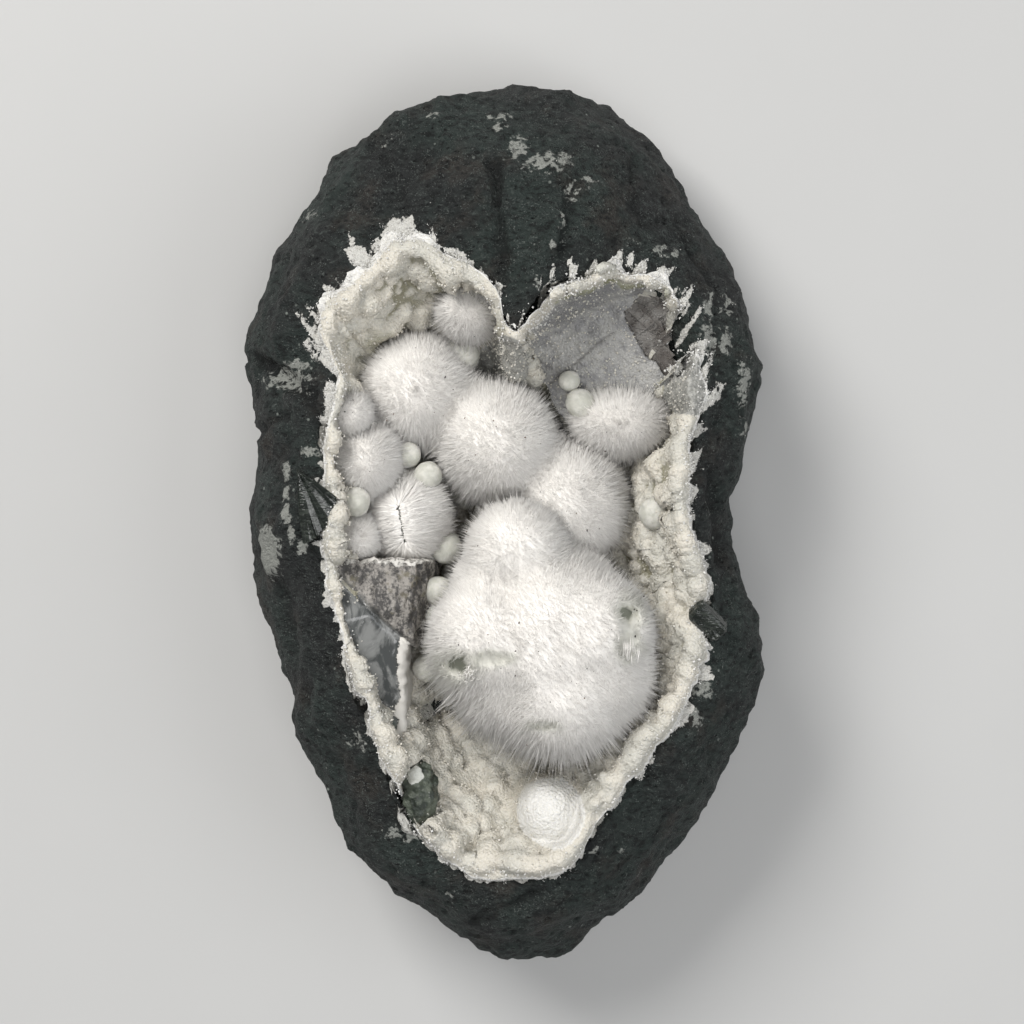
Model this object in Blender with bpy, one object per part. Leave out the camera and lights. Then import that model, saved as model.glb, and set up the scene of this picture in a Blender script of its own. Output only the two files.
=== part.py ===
"""Okenite puffballs in a hollow of a basalt rock, which lies on its flat broken back with the hollow up.

The frame is in metres with +Z up. The origin is under the middle of the rock, on the surface it rests on,
and +Y points to the rock's broad end. Sizes below are in millimetres where a name ends in _MM.
"""

import math

import bmesh
import bpy
import numpy as np
from mathutils import Matrix, Vector, noise

MM = 0.001

# Solids that touch keep this gap, and faces nearer to flat than this angle count as one
GAP_MM = 0.35
FLAT_DEG = 0.4

# The rock, seen from above and from the side
LENGTH_MM = 150.0
WIDTH_MM = 89.0
EQUATOR_MM = 22.0
CREST_MM = 27.0
KEEL_MM = 26.0
BOXINESS = 2.4
ROCK_RINGS = 16
ROCK_SEGMENTS = 42

# The rock's outline from above
ROCK_OUTLINE_MM = [
    (7.6, 75.0), (18.8, 71.7), (26.5, 64.7), (32.5, 54.9), (35.6, 48.1), (42.1, 37.5), (44.3, 24.1),
    (41.9, 13.8), (38.8, 5.2), (39.8, -5.9), (44.0, -20.5), (43.8, -25.3), (38.3, -38.5), (36.6, -48.2),
    (29.4, -56.8), (20.8, -65.9), (13.6, -73.3), (-0.9, -75.0), (-6.6, -70.5), (-16.4, -65.9),
    (-25.5, -57.8), (-31.3, -44.5), (-37.1, -26.0), (-43.3, -8.5), (-43.8, 0.9), (-40.7, 13.8),
    (-44.3, 26.7), (-43.5, 34.4), (-37.8, 48.1), (-30.1, 60.9), (-19.8, 69.0), (-5.2, 73.6),
]

# The hollow: its ragged mouth, how deep it goes, and the lining on its wall
HOLLOW_CENTRE_MM = (2.0, -7.0)
HOLLOW_OUTLINE_MM = [
    (2.5, 30.8), (4.6, 33.9), (8.2, 37.5), (13.1, 39.4), (19.3, 41.7), (25.4, 43.2), (29.8, 41.4),
    (32.2, 36.2), (34.7, 28.8), (35.4, 22.2), (33.1, 14.9), (31.4, 7.0), (33.1, -0.7), (36.7, -9.7),
    (36.3, -17.0), (34.0, -27.7), (29.5, -36.2), (22.9, -44.0), (17.4, -50.6), (11.8, -60.6),
    (3.3, -62.0), (-5.2, -63.2), (-11.5, -57.0), (-16.0, -47.3), (-19.6, -39.5), (-23.2, -29.3),
    (-25.7, -21.1), (-27.8, -12.9), (-29.1, -5.6), (-29.5, 3.4), (-29.8, 11.6), (-27.8, 19.0),
    (-26.8, 24.4), (-31.4, 33.2), (-29.8, 38.1), (-24.2, 41.4), (-19.0, 46.3), (-15.1, 47.8),
    (-9.5, 44.3), (-2.9, 41.4), (-0.3, 37.8), (0.5, 33.7),
]
HOLLOW_RINGS = 6
HOLLOW_FLOOR_MM = 10.0
HOLLOW_RIM_MM = 44.0
HOLLOW_LID_MM = 80.0
BOWL_POWER = 3.2
RIM_LINING_MM = 1.9
FLOOR_LINING_MM = 3.0
LUMP_COUNT = 85
LUMP_RADIUS_MM = (2.4, 4.6)
LUMP_RISE = 0.85
AIR_RINGS = 12
ROUGH_SHARE = 0.45
ROUGH_MM = 1.7

# Fracture faces that cut the rock's outside, and how rough it is between them
FRACTURE_COUNT = 46
FRACTURE_DEPTH_MM = (0.8, 3.6)
SWELL_MM = 1.8
SWELL_SPAN_MM = 17.0
GRIT_MM = 1.3
GRIT_SPAN_MM = 6.0

# The wedge of rock that stands up between the hollow's two upper lobes: its left edge is steep
WEDGE_RISE_MM = 3.2
WEDGE_LEFT_MM = (-0.5, 2.0)
WEDGE_RIGHT_MM = (16.0, 8.0)
WEDGE_TIP_MM = (26.0, 6.0)
WEDGE_END_MM = (66.0, 14.0)

# The open crack across the left shoulder
CRACK_MM = 2.4
CRACK_WIDTH_MM = 3.2
CRACK_AT_MM = (-36.0, 22.5)
CRACK_SLOPE = 0.35
CRACK_END_MM = (-26.0, 6.0)

# Puffballs: each is a list of lobes, and a lobe is its centre and its radii to the fibre tips
PUFFS_MM = {
    "okenite_front": [
        ((3.6, -4.8, 41.0), (8.9, 8.9, 8.9)),
        ((-0.5, -19.6, 41.0), (11.8, 11.8, 11.8)),
        ((15.1, -18.2, 43.0), (10.8, 10.8, 10.8)),
        ((9.9, -27.4, 40.0), (12.2, 12.2, 12.2)),
        ((9.0, -17.0, 30.0), (13.5, 13.0, 17.0)),
    ],
    "okenite_chain": [
        ((-14.3, 22.0, 30.0), (9.9, 9.9, 9.9)),
        ((-0.4, 13.0, 31.5), (10.4, 10.4, 10.4)),
        ((11.4, 3.2, 29.0), (10.2, 10.2, 10.2)),
    ],
    "okenite_left": [((-22.6, 10.1, 35.5), (7.1, 7.1, 7.1))],
    "okenite_right": [((20.4, 16.4, 30.5), (9.2, 6.4, 6.6))],
    "okenite_cleft": [((-15.0, 0.6, 30.0), (7.4, 7.4, 7.4))],
    "okenite_top": [((-5.2, 35.0, 34.0), (5.9, 5.9, 5.9))],
    "okenite_rim": [((-24.6, 18.0, 39.5), (4.2, 4.2, 4.2))],
    "okenite_low": [((-23.6, -2.6, 37.0), (4.4, 4.4, 4.4))],
}
GROWN_FROM_WALL = [name for name in PUFFS_MM if name not in ("okenite_front", "okenite_cleft")]
SPIKE_RISE = 0.10
SMALL_PUFF_MM = 6.0
SOCKET_SHARE = 1.08

# Broken pits in the front mass: where each is, and its radii
FRONT_PITS_MM = [
    ((-6.2, -23.4, 52.2), (3.4, 2.6, 3.6)),
    ((0.0, -22.2, 53.4), (4.0, 1.3, 2.6)),
    ((21.4, -17.0, 51.8), (2.6, 3.4, 3.6)),
    ((7.6, -33.6, 51.6), (3.0, 1.2, 2.2)),
]

# Small smooth pearls between the puffballs
PEARLS_MM = [
    ((-6.4, 28.2, 30.5), 3.0),
    ((-15.4, 11.0, 35.0), 2.2),
    ((-12.1, 7.5, 35.8), 2.4),
    ((11.6, 23.4, 32.8), 1.8),
    ((13.4, 19.7, 33.2), 2.5),
    ((-23.9, 3.2, 40.2), 2.5),
    ((-9.0, -4.4, 34.1), 2.8),
    ((26.0, 1.3, 34.4), 2.8),
]

# The calcite under the coat at the upper right, turned and tilted, and the window broken in its coat
CALCITE_CENTRE_MM = (22.0, 31.5, 25.5)
CALCITE_SIZE_MM = (31.0, 22.0, 17.0)
CALCITE_TURN_DEG = 38.0
CALCITE_TILT_DEG = (14.0, -10.0)
CALCITE_LEAN = (0.16, 0.10)
COAT_MM = 1.1
WINDOW_MM = [(20.8, 34.8), (26.1, 38.8), (32.0, 33.6), (32.4, 29.3), (27.9, 24.1), (23.3, 29.3)]
WINDOW_BOTTOM_MM = 30.0

# The broken crystal block at the left wall, from above, with the step across it
BLOCK_OUTLINE_MM = [
    (-28.0, -5.9), (-10.8, -6.5), (-10.6, -13.2), (-12.5, -19.8), (-15.6, -21.5), (-16.2, -36.4),
    (-20.6, -35.5), (-26.8, -22.3),
]
BLOCK_BOTTOM_MM = 22.0
BLOCK_TOP_MM = 44.0
BLOCK_CUTS = [
    ((-18.0, -12.0, 42.0), (0.10, 0.16, 1.0)),
    ((-19.5, -27.0, 39.0), (0.22, -0.30, 1.0)),
    ((-12.2, -14.0, 37.0), (1.0, -0.10, 0.55)),
]

# The small dark prism in the right rim
PRISM_CENTRE_MM = (34.2, -16.4, 41.4)
PRISM_SIZE_MM = (6.4, 3.4, 3.4)
PRISM_TURN_DEG = -42.0
PRISM_TIP_DEG = 12.0
PRISM_ROLL_DEG = 20.0
PRISM_CHAMFER_MM = 0.5

# The dark green lump in the floor, and the rounded mound of quartz beside it
NODULE_CENTRE_MM = (-13.2, -45.2, 38.6)
NODULE_RADII_MM = (3.2, 5.8, 3.4)
MOUND_CENTRE_MM = (8.6, -48.6, 33.5)
MOUND_RADIUS_MM = 6.4

# The dark fan in the left rim: its length is given at its first and its last bearing
FAN_APEX_MM = (-33.4, 8.6, 43.6)
FAN_LENGTH_MM = (12.0, 7.6)
FAN_BEARING_DEG = (-80.0, -38.0)
FAN_RIDGES = 7
FAN_RIDGE_MM = 0.5
FAN_DEPTH_MM = 3.0
FAN_CLIMB = 0.2

PARTS = "okenite_specimen"
CUTTERS = "cutters"


class Outline:
    """A closed outline seen from above, read as a distance from its centre at each bearing."""

    def __init__(self, points_mm, centre_mm):
        """Sorts the points by their bearing from the centre."""
        polar = sorted(
            (math.atan2(y - centre_mm[1], x - centre_mm[0]), math.hypot(x - centre_mm[0], y - centre_mm[1]))
            for x, y in points_mm
        )
        self.centre = centre_mm
        self.bearings = [p[0] for p in polar]
        self.distances = [p[1] for p in polar]

    def distance(self, bearing):
        """The outline's distance from its centre at this bearing, in millimetres."""
        return float(np.interp(bearing, self.bearings, self.distances, period=math.tau))

    def corner(self, bearing):
        """The bearing of one of the outline's own points, for a bearing that counts them evenly."""
        return self.bearings[round(bearing / math.tau * len(self.bearings)) % len(self.bearings)]

    def point(self, bearing, share, inset=0.0):
        """The point at a share of the way out to the outline, which is first drawn in by the inset."""
        reach = (self.distance(bearing) - inset) * share
        return (
            self.centre[0] + reach * math.cos(bearing),
            self.centre[1] + reach * math.sin(bearing),
        )


ROCK = Outline(ROCK_OUTLINE_MM, (0.0, 0.0))
HOLLOW = Outline(HOLLOW_OUTLINE_MM, HOLLOW_CENTRE_MM)


def clear_scene():
    """Removes every object that the file opened with."""
    for obj in list(bpy.data.objects):
        bpy.data.objects.remove(obj, do_unlink=True)


def make_collection(name):
    """Makes a collection in the scene."""
    made = bpy.data.collections.new(name)
    bpy.context.scene.collection.children.link(made)
    return made


def make_material(name, colour, roughness):
    """Makes a plain Principled material."""
    made = bpy.data.materials.new(name)
    made.use_nodes = True
    shader = made.node_tree.nodes["Principled BSDF"]
    shader.inputs["Base Color"].default_value = (*colour, 1.0)
    shader.inputs["Roughness"].default_value = roughness
    shader.inputs["Metallic"].default_value = 0.0
    return made


def add_part(name, bm, material):
    """Turns a bmesh in millimetres into a part in metres."""
    return add_object(name, bm, PARTS, material)


def add_cutter(name, bm):
    """Turns a bmesh in millimetres into a hidden cutter."""
    cutter = add_object(name, bm, CUTTERS, None)
    cutter.hide_render = True
    cutter.display_type = "WIRE"
    return cutter


def add_object(name, bm, collection, material):
    """Scales a bmesh from millimetres to metres and links it as an object of flat triangles."""
    bmesh.ops.recalc_face_normals(bm, faces=bm.faces)
    bmesh.ops.triangulate(bm, faces=bm.faces)
    bmesh.ops.scale(bm, vec=(MM, MM, MM), verts=bm.verts)
    mesh = bpy.data.meshes.new(name)
    bm.to_mesh(mesh)
    bm.free()
    if material:
        mesh.materials.append(material)
    obj = bpy.data.objects.new(name, mesh)
    bpy.data.collections[collection].objects.link(obj)
    return obj


def boolean(obj, other, operation):
    """Adds a Boolean modifier with the exact solver."""
    modifier = obj.modifiers.new(f"{operation.lower()}_{other.name}", "BOOLEAN")
    modifier.operation = operation
    modifier.solver = "EXACT"
    modifier.object = other


def dissolve_flat(obj):
    """Joins the flat slivers that Booleans leave back into whole faces."""
    modifier = obj.modifiers.new("dissolve_flat", "DECIMATE")
    modifier.decimate_type = "DISSOLVE"
    modifier.angle_limit = math.radians(FLAT_DEG)


def bowl_height(share):
    """The height of the hollow's wall at this share of the way out from its middle, in millimetres."""
    return HOLLOW_FLOOR_MM + (HOLLOW_RIM_MM - HOLLOW_FLOOR_MM) * share**BOWL_POWER


def ease(distance, reach):
    """Goes from 0 at no distance to 1 at the reach and past it."""
    return min(1.0, max(0.0, distance / reach))


def wedge_rise(x, y):
    """How far the wedge of rock between the hollow's two upper lobes stands up, in millimetres."""
    across = ease(x - WEDGE_LEFT_MM[0], WEDGE_LEFT_MM[1]) * ease(WEDGE_RIGHT_MM[0] - x, WEDGE_RIGHT_MM[1])
    along = ease(y - WEDGE_TIP_MM[0], WEDGE_TIP_MM[1]) * ease(WEDGE_END_MM[0] - y, WEDGE_END_MM[1])
    return WEDGE_RISE_MM * across * along


def crack_depth(x, y):
    """How far the open crack across the left shoulder is cut in, in millimetres."""
    off_line = (y - CRACK_AT_MM[1]) - CRACK_SLOPE * (x - CRACK_AT_MM[0])
    profile = math.exp(-((off_line / CRACK_WIDTH_MM) ** 2))
    return CRACK_MM * profile * ease(CRACK_END_MM[0] - x, CRACK_END_MM[1])


def rock_blank():
    """The rock before it is hollowed: a boxy boulder with its own outline, flattened by fractures."""
    bm = bmesh.new()
    bmesh.ops.create_uvsphere(bm, u_segments=ROCK_SEGMENTS, v_segments=ROCK_RINGS, radius=1.0)
    columns = [[] for _ in range(ROCK_SEGMENTS)]
    for vert in bm.verts:
        direction = vert.co.normalized()
        bearing = math.atan2(direction.y, direction.x)
        level = math.hypot(direction.x, direction.y)
        columns[round(bearing / math.tau * ROCK_SEGMENTS) % ROCK_SEGMENTS].append(vert)
        out = ROCK.distance(bearing) * level ** (2.0 / BOXINESS)
        height = CREST_MM if direction.z > 0 else -KEEL_MM
        lift = height * abs(direction.z) ** (2.0 / BOXINESS)
        vert.co = (out * math.cos(bearing), out * math.sin(bearing), EQUATOR_MM + lift)
        swell = noise.noise(vert.co / SWELL_SPAN_MM) * SWELL_MM
        grit = noise.noise(vert.co / GRIT_SPAN_MM) * GRIT_MM
        vert.co += direction * (swell + grit)
    fracture(bm)
    for vert in bm.verts:
        crack = crack_depth(vert.co.x, vert.co.y)
        vert.co.x += crack
        if vert.co.z > EQUATOR_MM:
            vert.co.z += wedge_rise(vert.co.x, vert.co.y) - crack
    fit_outline(columns)
    flatten_back(bm)
    fit_size(bm)
    return bm


def fracture(bm):
    """Presses the outermost stretches of the rock onto flat fracture faces."""
    dice = np.random.default_rng(11)
    for _ in range(FRACTURE_COUNT):
        facing = Vector(dice.normal(size=3) * (1.0, 1.0, 0.8)).normalized()
        depth = dice.uniform(*FRACTURE_DEPTH_MM)
        limit = max(vert.co.dot(facing) for vert in bm.verts) - depth
        for vert in bm.verts:
            beyond = vert.co.dot(facing) - limit
            if beyond > 0.0:
                vert.co -= facing * beyond


def flatten_back(bm):
    """Cuts the rock off flat where it rests."""
    cut = bmesh.ops.bisect_plane(
        bm,
        geom=[*bm.verts, *bm.edges, *bm.faces],
        plane_co=(0.0, 0.0, 0.0),
        plane_no=(0.0, 0.0, -1.0),
        clear_outer=True,
    )
    edges = [item for item in cut["geom_cut"] if isinstance(item, bmesh.types.BMEdge)]
    bmesh.ops.edgeloop_fill(bm, edges=edges)


def fit_outline(columns):
    """Draws each column of the rock's points in or out, so that its farthest point is on the outline."""
    for column_verts in columns:
        far = max(column_verts, key=lambda vert: math.hypot(vert.co.x, vert.co.y))
        ratio = ROCK.distance(math.atan2(far.co.y, far.co.x)) / math.hypot(far.co.x, far.co.y)
        for vert in column_verts:
            vert.co.x *= ratio
            vert.co.y *= ratio


def fit_size(bm):
    """Stretches the rock by the little that brings it to its stated length and width."""
    for axis, size in ((0, WIDTH_MM), (1, LENGTH_MM)):
        low = min(vert.co[axis] for vert in bm.verts)
        high = max(vert.co[axis] for vert in bm.verts)
        for vert in bm.verts:
            vert.co[axis] = ((vert.co[axis] - low) / (high - low) - 0.5) * size


def hollow(inset):
    """The hollow as a solid: a bowl below its rim, with straight sides above it.

    inset draws the whole wall in, so that what is cut to it keeps a gap.
    """
    bm = bmesh.new()
    bmesh.ops.create_uvsphere(bm, u_segments=len(HOLLOW_OUTLINE_MM), v_segments=HOLLOW_RINGS, radius=1.0)
    for vert in bm.verts:
        shape_hollow_vert(vert, inset, inset)
    return bm


def is_above_rim(vert):
    """Whether this point of a unit sphere belongs to the straight sides over the rim."""
    return vert.co.z > 0.01


def shape_hollow_vert(vert, inset, raised):
    """Moves one point of a unit sphere to the hollow's wall, and returns its bearing and its share out."""
    direction = vert.co.normalized()
    bearing = HOLLOW.corner(math.atan2(direction.y, direction.x))
    share = math.hypot(direction.x, direction.y)
    if is_above_rim(vert):
        share = 1.0 if share > 0.01 else 0.0
        height = HOLLOW_RIM_MM + (HOLLOW_LID_MM - HOLLOW_RIM_MM) * direction.z
    else:
        height = bowl_height(share) + raised
    x, y = HOLLOW.point(bearing, share, inset)
    vert.co = (x, y, height)
    return bearing, share


def lumps():
    """Centres and radii of the rounded lumps of quartz that cover the hollow's wall."""
    dice = np.random.default_rng(5)
    found = []
    for _ in range(LUMP_COUNT):
        bearing = dice.uniform(-math.pi, math.pi)
        share = math.sqrt(dice.uniform(0.02, 0.92))
        x, y = HOLLOW.point(bearing, share, RIM_LINING_MM)
        centre = Vector((x, y, bowl_height(share) + FLOOR_LINING_MM * (1.0 - share)))
        found.append((centre, dice.uniform(*LUMP_RADIUS_MM)))
    return found


def air():
    """The open space inside the lining, as a solid whose lower side takes the print of the lumps."""
    bm = bmesh.new()
    bmesh.ops.create_uvsphere(bm, u_segments=len(HOLLOW_OUTLINE_MM), v_segments=AIR_RINGS, radius=1.0)
    dice = np.random.default_rng(23)
    rounded = lumps()
    for vert in bm.verts:
        is_wall = vert.co.z < -0.01
        bearing, share = shape_hollow_vert(vert, RIM_LINING_MM, FLOOR_LINING_MM)
        if not is_wall:
            continue
        reach = HOLLOW.distance(bearing)
        slope = BOWL_POWER * (HOLLOW_RIM_MM - HOLLOW_FLOOR_MM) * share ** (BOWL_POWER - 1.0) / reach
        inward = Vector((-slope * math.cos(bearing), -slope * math.sin(bearing), 1.0)).normalized()
        rise = ROUGH_MM if dice.random() < ROUGH_SHARE else 0.0
        for centre, radius in rounded:
            rise = max(rise, math.sqrt(max(0.0, radius**2 - (vert.co - centre).length_squared)))
        vert.co += inward * LUMP_RISE * rise
    return bm


def spiny_ball(centre, radii, seed):
    """One puffball lobe: a ball whose spread-out corners stand up as tufts that reach the radii."""
    is_stem = radii[2] > radii[0]
    plain = max(radii) < SMALL_PUFF_MM or is_stem
    bm = bmesh.new()
    bmesh.ops.create_icosphere(bm, subdivisions=2 if plain else 3, radius=1.0)
    spiked = set()
    for vert in bm.verts:
        if not any(edge.other_vert(vert).index in spiked for edge in vert.link_edges):
            spiked.add(vert.index)
    for vert in bm.verts:
        rise = 1.0 if vert.index in spiked else 1.0 - SPIKE_RISE
        vert.co = vert.co.normalized() * rise
    turn = Matrix.Rotation(1.0 + seed * 1.7, 4, Vector((0.3, 0.5 + seed, 0.8)))
    bmesh.ops.transform(bm, matrix=turn, verts=bm.verts)
    bmesh.ops.scale(bm, vec=radii, verts=bm.verts)
    bmesh.ops.translate(bm, vec=centre, verts=bm.verts)
    return bm


def puff(name, lobes, material):
    """A puffball of one or more lobes, joined."""
    ball = add_part(name, spiny_ball(*lobes[0], 0), material)
    for number, (centre, radii) in enumerate(lobes[1:], start=1):
        boolean(ball, add_cutter(f"{name}_lobe_{number}", spiny_ball(centre, radii, number)), "UNION")
    return ball


def puff_cutter(name, lobes):
    """A smooth ball around each lobe, to cut the puffball's neighbours with."""
    socket = None
    for number, (centre, radii) in enumerate(lobes):
        reach = [SOCKET_SHARE * radius + GAP_MM for radius in radii]
        ball = add_cutter(f"{name}_socket_{number}", ball_mesh(centre, reach))
        if socket:
            boolean(socket, ball, "UNION")
        else:
            socket = ball
    return socket


def ball_mesh(centre, radii, subdivisions=2):
    """A smooth ball or egg."""
    bm = bmesh.new()
    bmesh.ops.create_icosphere(bm, subdivisions=subdivisions, radius=1.0)
    bmesh.ops.scale(bm, vec=radii, verts=bm.verts)
    bmesh.ops.translate(bm, vec=centre, verts=bm.verts)
    return bm


def calcite_mesh(shrink):
    """The calcite rhomb, each face drawn in by the shrink."""
    bm = bmesh.new()
    bmesh.ops.create_cube(bm, size=1.0)
    size = [side - 2.0 * shrink for side in CALCITE_SIZE_MM]
    bmesh.ops.scale(bm, vec=size, verts=bm.verts)
    lean = Matrix.Identity(4)
    lean[0][1], lean[1][2] = CALCITE_LEAN
    tilt_x, tilt_y = (math.radians(angle) for angle in CALCITE_TILT_DEG)
    place = (
        Matrix.Translation(CALCITE_CENTRE_MM)
        @ Matrix.Rotation(tilt_x, 4, "X")
        @ Matrix.Rotation(tilt_y, 4, "Y")
        @ Matrix.Rotation(math.radians(CALCITE_TURN_DEG), 4, "Z")
        @ lean
    )
    bmesh.ops.transform(bm, matrix=place, verts=bm.verts)
    return bm


def column(points, bottom, top):
    """A straight column over an outline."""
    bm = bmesh.new()
    base = bm.faces.new([bm.verts.new((x, y, bottom)) for x, y in points])
    grown = bmesh.ops.extrude_face_region(bm, geom=[base])
    tops = [item for item in grown["geom"] if isinstance(item, bmesh.types.BMVert)]
    bmesh.ops.translate(bm, vec=(0.0, 0.0, top - bottom), verts=tops)
    return bm


def block_mesh(grow):
    """The broken crystal block: a column over its outline, with its top and side split off flat."""
    middle = Vector(np.mean(BLOCK_OUTLINE_MM, axis=0).tolist())
    points = [tuple(Vector(p) + (Vector(p) - middle).normalized() * grow) for p in BLOCK_OUTLINE_MM]
    bm = column(points, BLOCK_BOTTOM_MM - grow, BLOCK_TOP_MM + grow)
    for place, facing in BLOCK_CUTS:
        cut = bmesh.ops.bisect_plane(
            bm,
            geom=[*bm.verts, *bm.edges, *bm.faces],
            plane_co=Vector(place) + Vector(facing).normalized() * grow,
            plane_no=facing,
            clear_outer=True,
        )
        edges = [item for item in cut["geom_cut"] if isinstance(item, bmesh.types.BMEdge)]
        bmesh.ops.edgeloop_fill(bm, edges=edges)
    return bm


def prism_mesh(grow):
    """The dark prism: a square bar with chamfered edges, tipped down at its free end."""
    bm = bmesh.new()
    bmesh.ops.create_cube(bm, size=1.0)
    bmesh.ops.scale(bm, vec=[side + 2.0 * grow for side in PRISM_SIZE_MM], verts=bm.verts)
    edges = list(bm.edges)
    bmesh.ops.bevel(
        bm, geom=edges, offset=PRISM_CHAMFER_MM, affect="EDGES", segments=1, profile=0.5, material=-1
    )
    place = (
        Matrix.Translation(PRISM_CENTRE_MM)
        @ Matrix.Rotation(math.radians(PRISM_TURN_DEG), 4, "Z")
        @ Matrix.Rotation(math.radians(PRISM_TIP_DEG), 4, "Y")
        @ Matrix.Rotation(math.radians(PRISM_ROLL_DEG), 4, "X")
    )
    bmesh.ops.transform(bm, matrix=place, verts=bm.verts)
    return bm


def fan_mesh(grow):
    """The dark fan: a thin wedge of ridges that spread from one point, following the rock's face."""
    start, end = (math.radians(angle) for angle in FAN_BEARING_DEG)
    steps = 2 * FAN_RIDGES
    apex = Vector(FAN_APEX_MM)
    bm = bmesh.new()
    rim = []
    for step in range(steps + 1):
        bearing = start + (end - start) * step / steps
        ridge = FAN_RIDGE_MM if step % 2 else 0.0
        out = Vector((math.cos(bearing), math.sin(bearing), FAN_CLIMB))
        length = FAN_LENGTH_MM[0] + (FAN_LENGTH_MM[1] - FAN_LENGTH_MM[0]) * step / steps
        rim.append(bm.verts.new(apex + out * (length + grow) + Vector((0.0, 0.0, ridge + grow))))
    back = (start + end) / 2.0 + math.pi
    tip = bm.verts.new(apex + Vector((math.cos(back) * 2 * grow, math.sin(back) * 2 * grow, grow)))
    top = [bm.faces.new((tip, one, two)) for one, two in zip(rim[:-1], rim[1:])]
    grown = bmesh.ops.extrude_face_region(bm, geom=top)
    lower = [item for item in grown["geom"] if isinstance(item, bmesh.types.BMVert)]
    bmesh.ops.translate(bm, vec=(0.0, 0.0, -FAN_DEPTH_MM - 2 * grow), verts=lower)
    return bm


def build_puffs(material, inner_wall):
    """Makes the puffballs, and returns the cutters of their sockets by name."""
    balls = {name: puff(name, lobes, material) for name, lobes in PUFFS_MM.items()}
    cutters = {name: puff_cutter(name, lobes) for name, lobes in PUFFS_MM.items()}
    for number, (centre, radii) in enumerate(FRONT_PITS_MM, start=1):
        pit = add_cutter(f"pit_{number}", ball_mesh(centre, radii, 1))
        boolean(balls["okenite_front"], pit, "DIFFERENCE")
    names = list(PUFFS_MM)
    for number, name in enumerate(names):
        for earlier in names[:number]:
            if touches(PUFFS_MM[name], PUFFS_MM[earlier]):
                boolean(balls[name], cutters[earlier], "DIFFERENCE")
        if name in GROWN_FROM_WALL:
            boolean(balls[name], inner_wall, "INTERSECT")
    return cutters


def touches(lobes, others):
    """Whether two sets of lobes come within the gap of each other."""
    return any(
        (Vector(a) - Vector(b)).length < max(r) + max(s) + GAP_MM for a, r in lobes for b, s in others
    )


def build_pearls(material, puff_cutters):
    """Makes the pearls, each cut back where a puffball grows over it, and returns their cutters."""
    cutters = []
    for number, (centre, radius) in enumerate(PEARLS_MM, start=1):
        pearl = add_part(f"pearl_{number}", ball_mesh(centre, [radius] * 3), material)
        for name, lobes in PUFFS_MM.items():
            if touches([(centre, [radius])], lobes):
                boolean(pearl, puff_cutters[name], "DIFFERENCE")
        grown = [radius + GAP_MM] * 3
        cutters.append(add_cutter(f"pearl_{number}_cutter", ball_mesh(centre, grown)))
    return cutters


def main():
    """Builds the specimen."""
    clear_scene()
    make_collection(PARTS)
    make_collection(CUTTERS)
    basalt = make_material("basalt", (0.035, 0.045, 0.043), 0.85)
    quartz = make_material("druse_quartz", (0.62, 0.60, 0.54), 0.35)
    okenite = make_material("okenite", (0.86, 0.84, 0.81), 0.7)
    pearl = make_material("pale_green_pearl", (0.62, 0.66, 0.58), 0.3)
    calcite = make_material("grey_calcite", (0.22, 0.20, 0.19), 0.25)
    dark = make_material("dark_crystal", (0.03, 0.035, 0.028), 0.2)
    green = make_material("green_nodule", (0.07, 0.09, 0.07), 0.5)

    wall = add_cutter("hollow", hollow(0.0))
    inner_wall = add_cutter("hollow_inner", hollow(2 * GAP_MM))
    blank = add_cutter("blank", rock_blank())
    air_space = add_cutter("air", air())

    puff_cutters = build_puffs(okenite, inner_wall)
    pearl_cutters = build_pearls(pearl, puff_cutters)
    fan_cutter = add_cutter("fan_cutter", fan_mesh(GAP_MM))
    prism_cutter = add_cutter("prism_cutter", prism_mesh(GAP_MM))
    block_cutter = add_cutter("block_cutter", block_mesh(GAP_MM))
    nodule_cutter = add_cutter(
        "nodule_cutter", ball_mesh(NODULE_CENTRE_MM, [r + GAP_MM for r in NODULE_RADII_MM])
    )

    matrix = add_part("basalt_matrix", rock_blank(), basalt)
    for cutter in (wall, fan_cutter, prism_cutter, nodule_cutter):
        boolean(matrix, cutter, "DIFFERENCE")

    crust = add_part("druse_crust", hollow(GAP_MM), quartz)
    boolean(crust, blank, "INTERSECT")
    boolean(crust, air_space, "DIFFERENCE")
    grown_on = add_cutter("grown_on", calcite_mesh(0.0))
    boolean(grown_on, add_cutter("mound", ball_mesh(MOUND_CENTRE_MM, [MOUND_RADIUS_MM] * 3)), "UNION")
    boolean(grown_on, inner_wall, "INTERSECT")
    boolean(crust, grown_on, "UNION")
    boolean(crust, add_cutter("calcite_pocket", calcite_mesh(COAT_MM)), "DIFFERENCE")
    boolean(crust, add_cutter("window", column(WINDOW_MM, WINDOW_BOTTOM_MM, HOLLOW_LID_MM)), "DIFFERENCE")
    crystal_cutters = (block_cutter, prism_cutter, nodule_cutter, fan_cutter)
    for cutter in (*puff_cutters.values(), *pearl_cutters, *crystal_cutters):
        boolean(crust, cutter, "DIFFERENCE")

    crystal = add_part("calcite_upper", calcite_mesh(COAT_MM + GAP_MM), calcite)
    boolean(crystal, add_cutter("hollow_deep", hollow(3 * GAP_MM)), "INTERSECT")
    boolean(crystal, puff_cutters["okenite_right"], "DIFFERENCE")
    block = add_part("calcite_left", block_mesh(0.0), calcite)
    boolean(block, inner_wall, "INTERSECT")
    for name in ("okenite_front", "okenite_chain", "okenite_cleft", "okenite_low"):
        boolean(block, puff_cutters[name], "DIFFERENCE")
    for obj in bpy.data.collections[PARTS].objects:
        dissolve_flat(obj)
    add_part("dark_prism", prism_mesh(0.0), dark)
    add_part("dark_fan", fan_mesh(0.0), dark)
    add_part("green_nodule", ball_mesh(NODULE_CENTRE_MM, NODULE_RADII_MM), green)


main()
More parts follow.
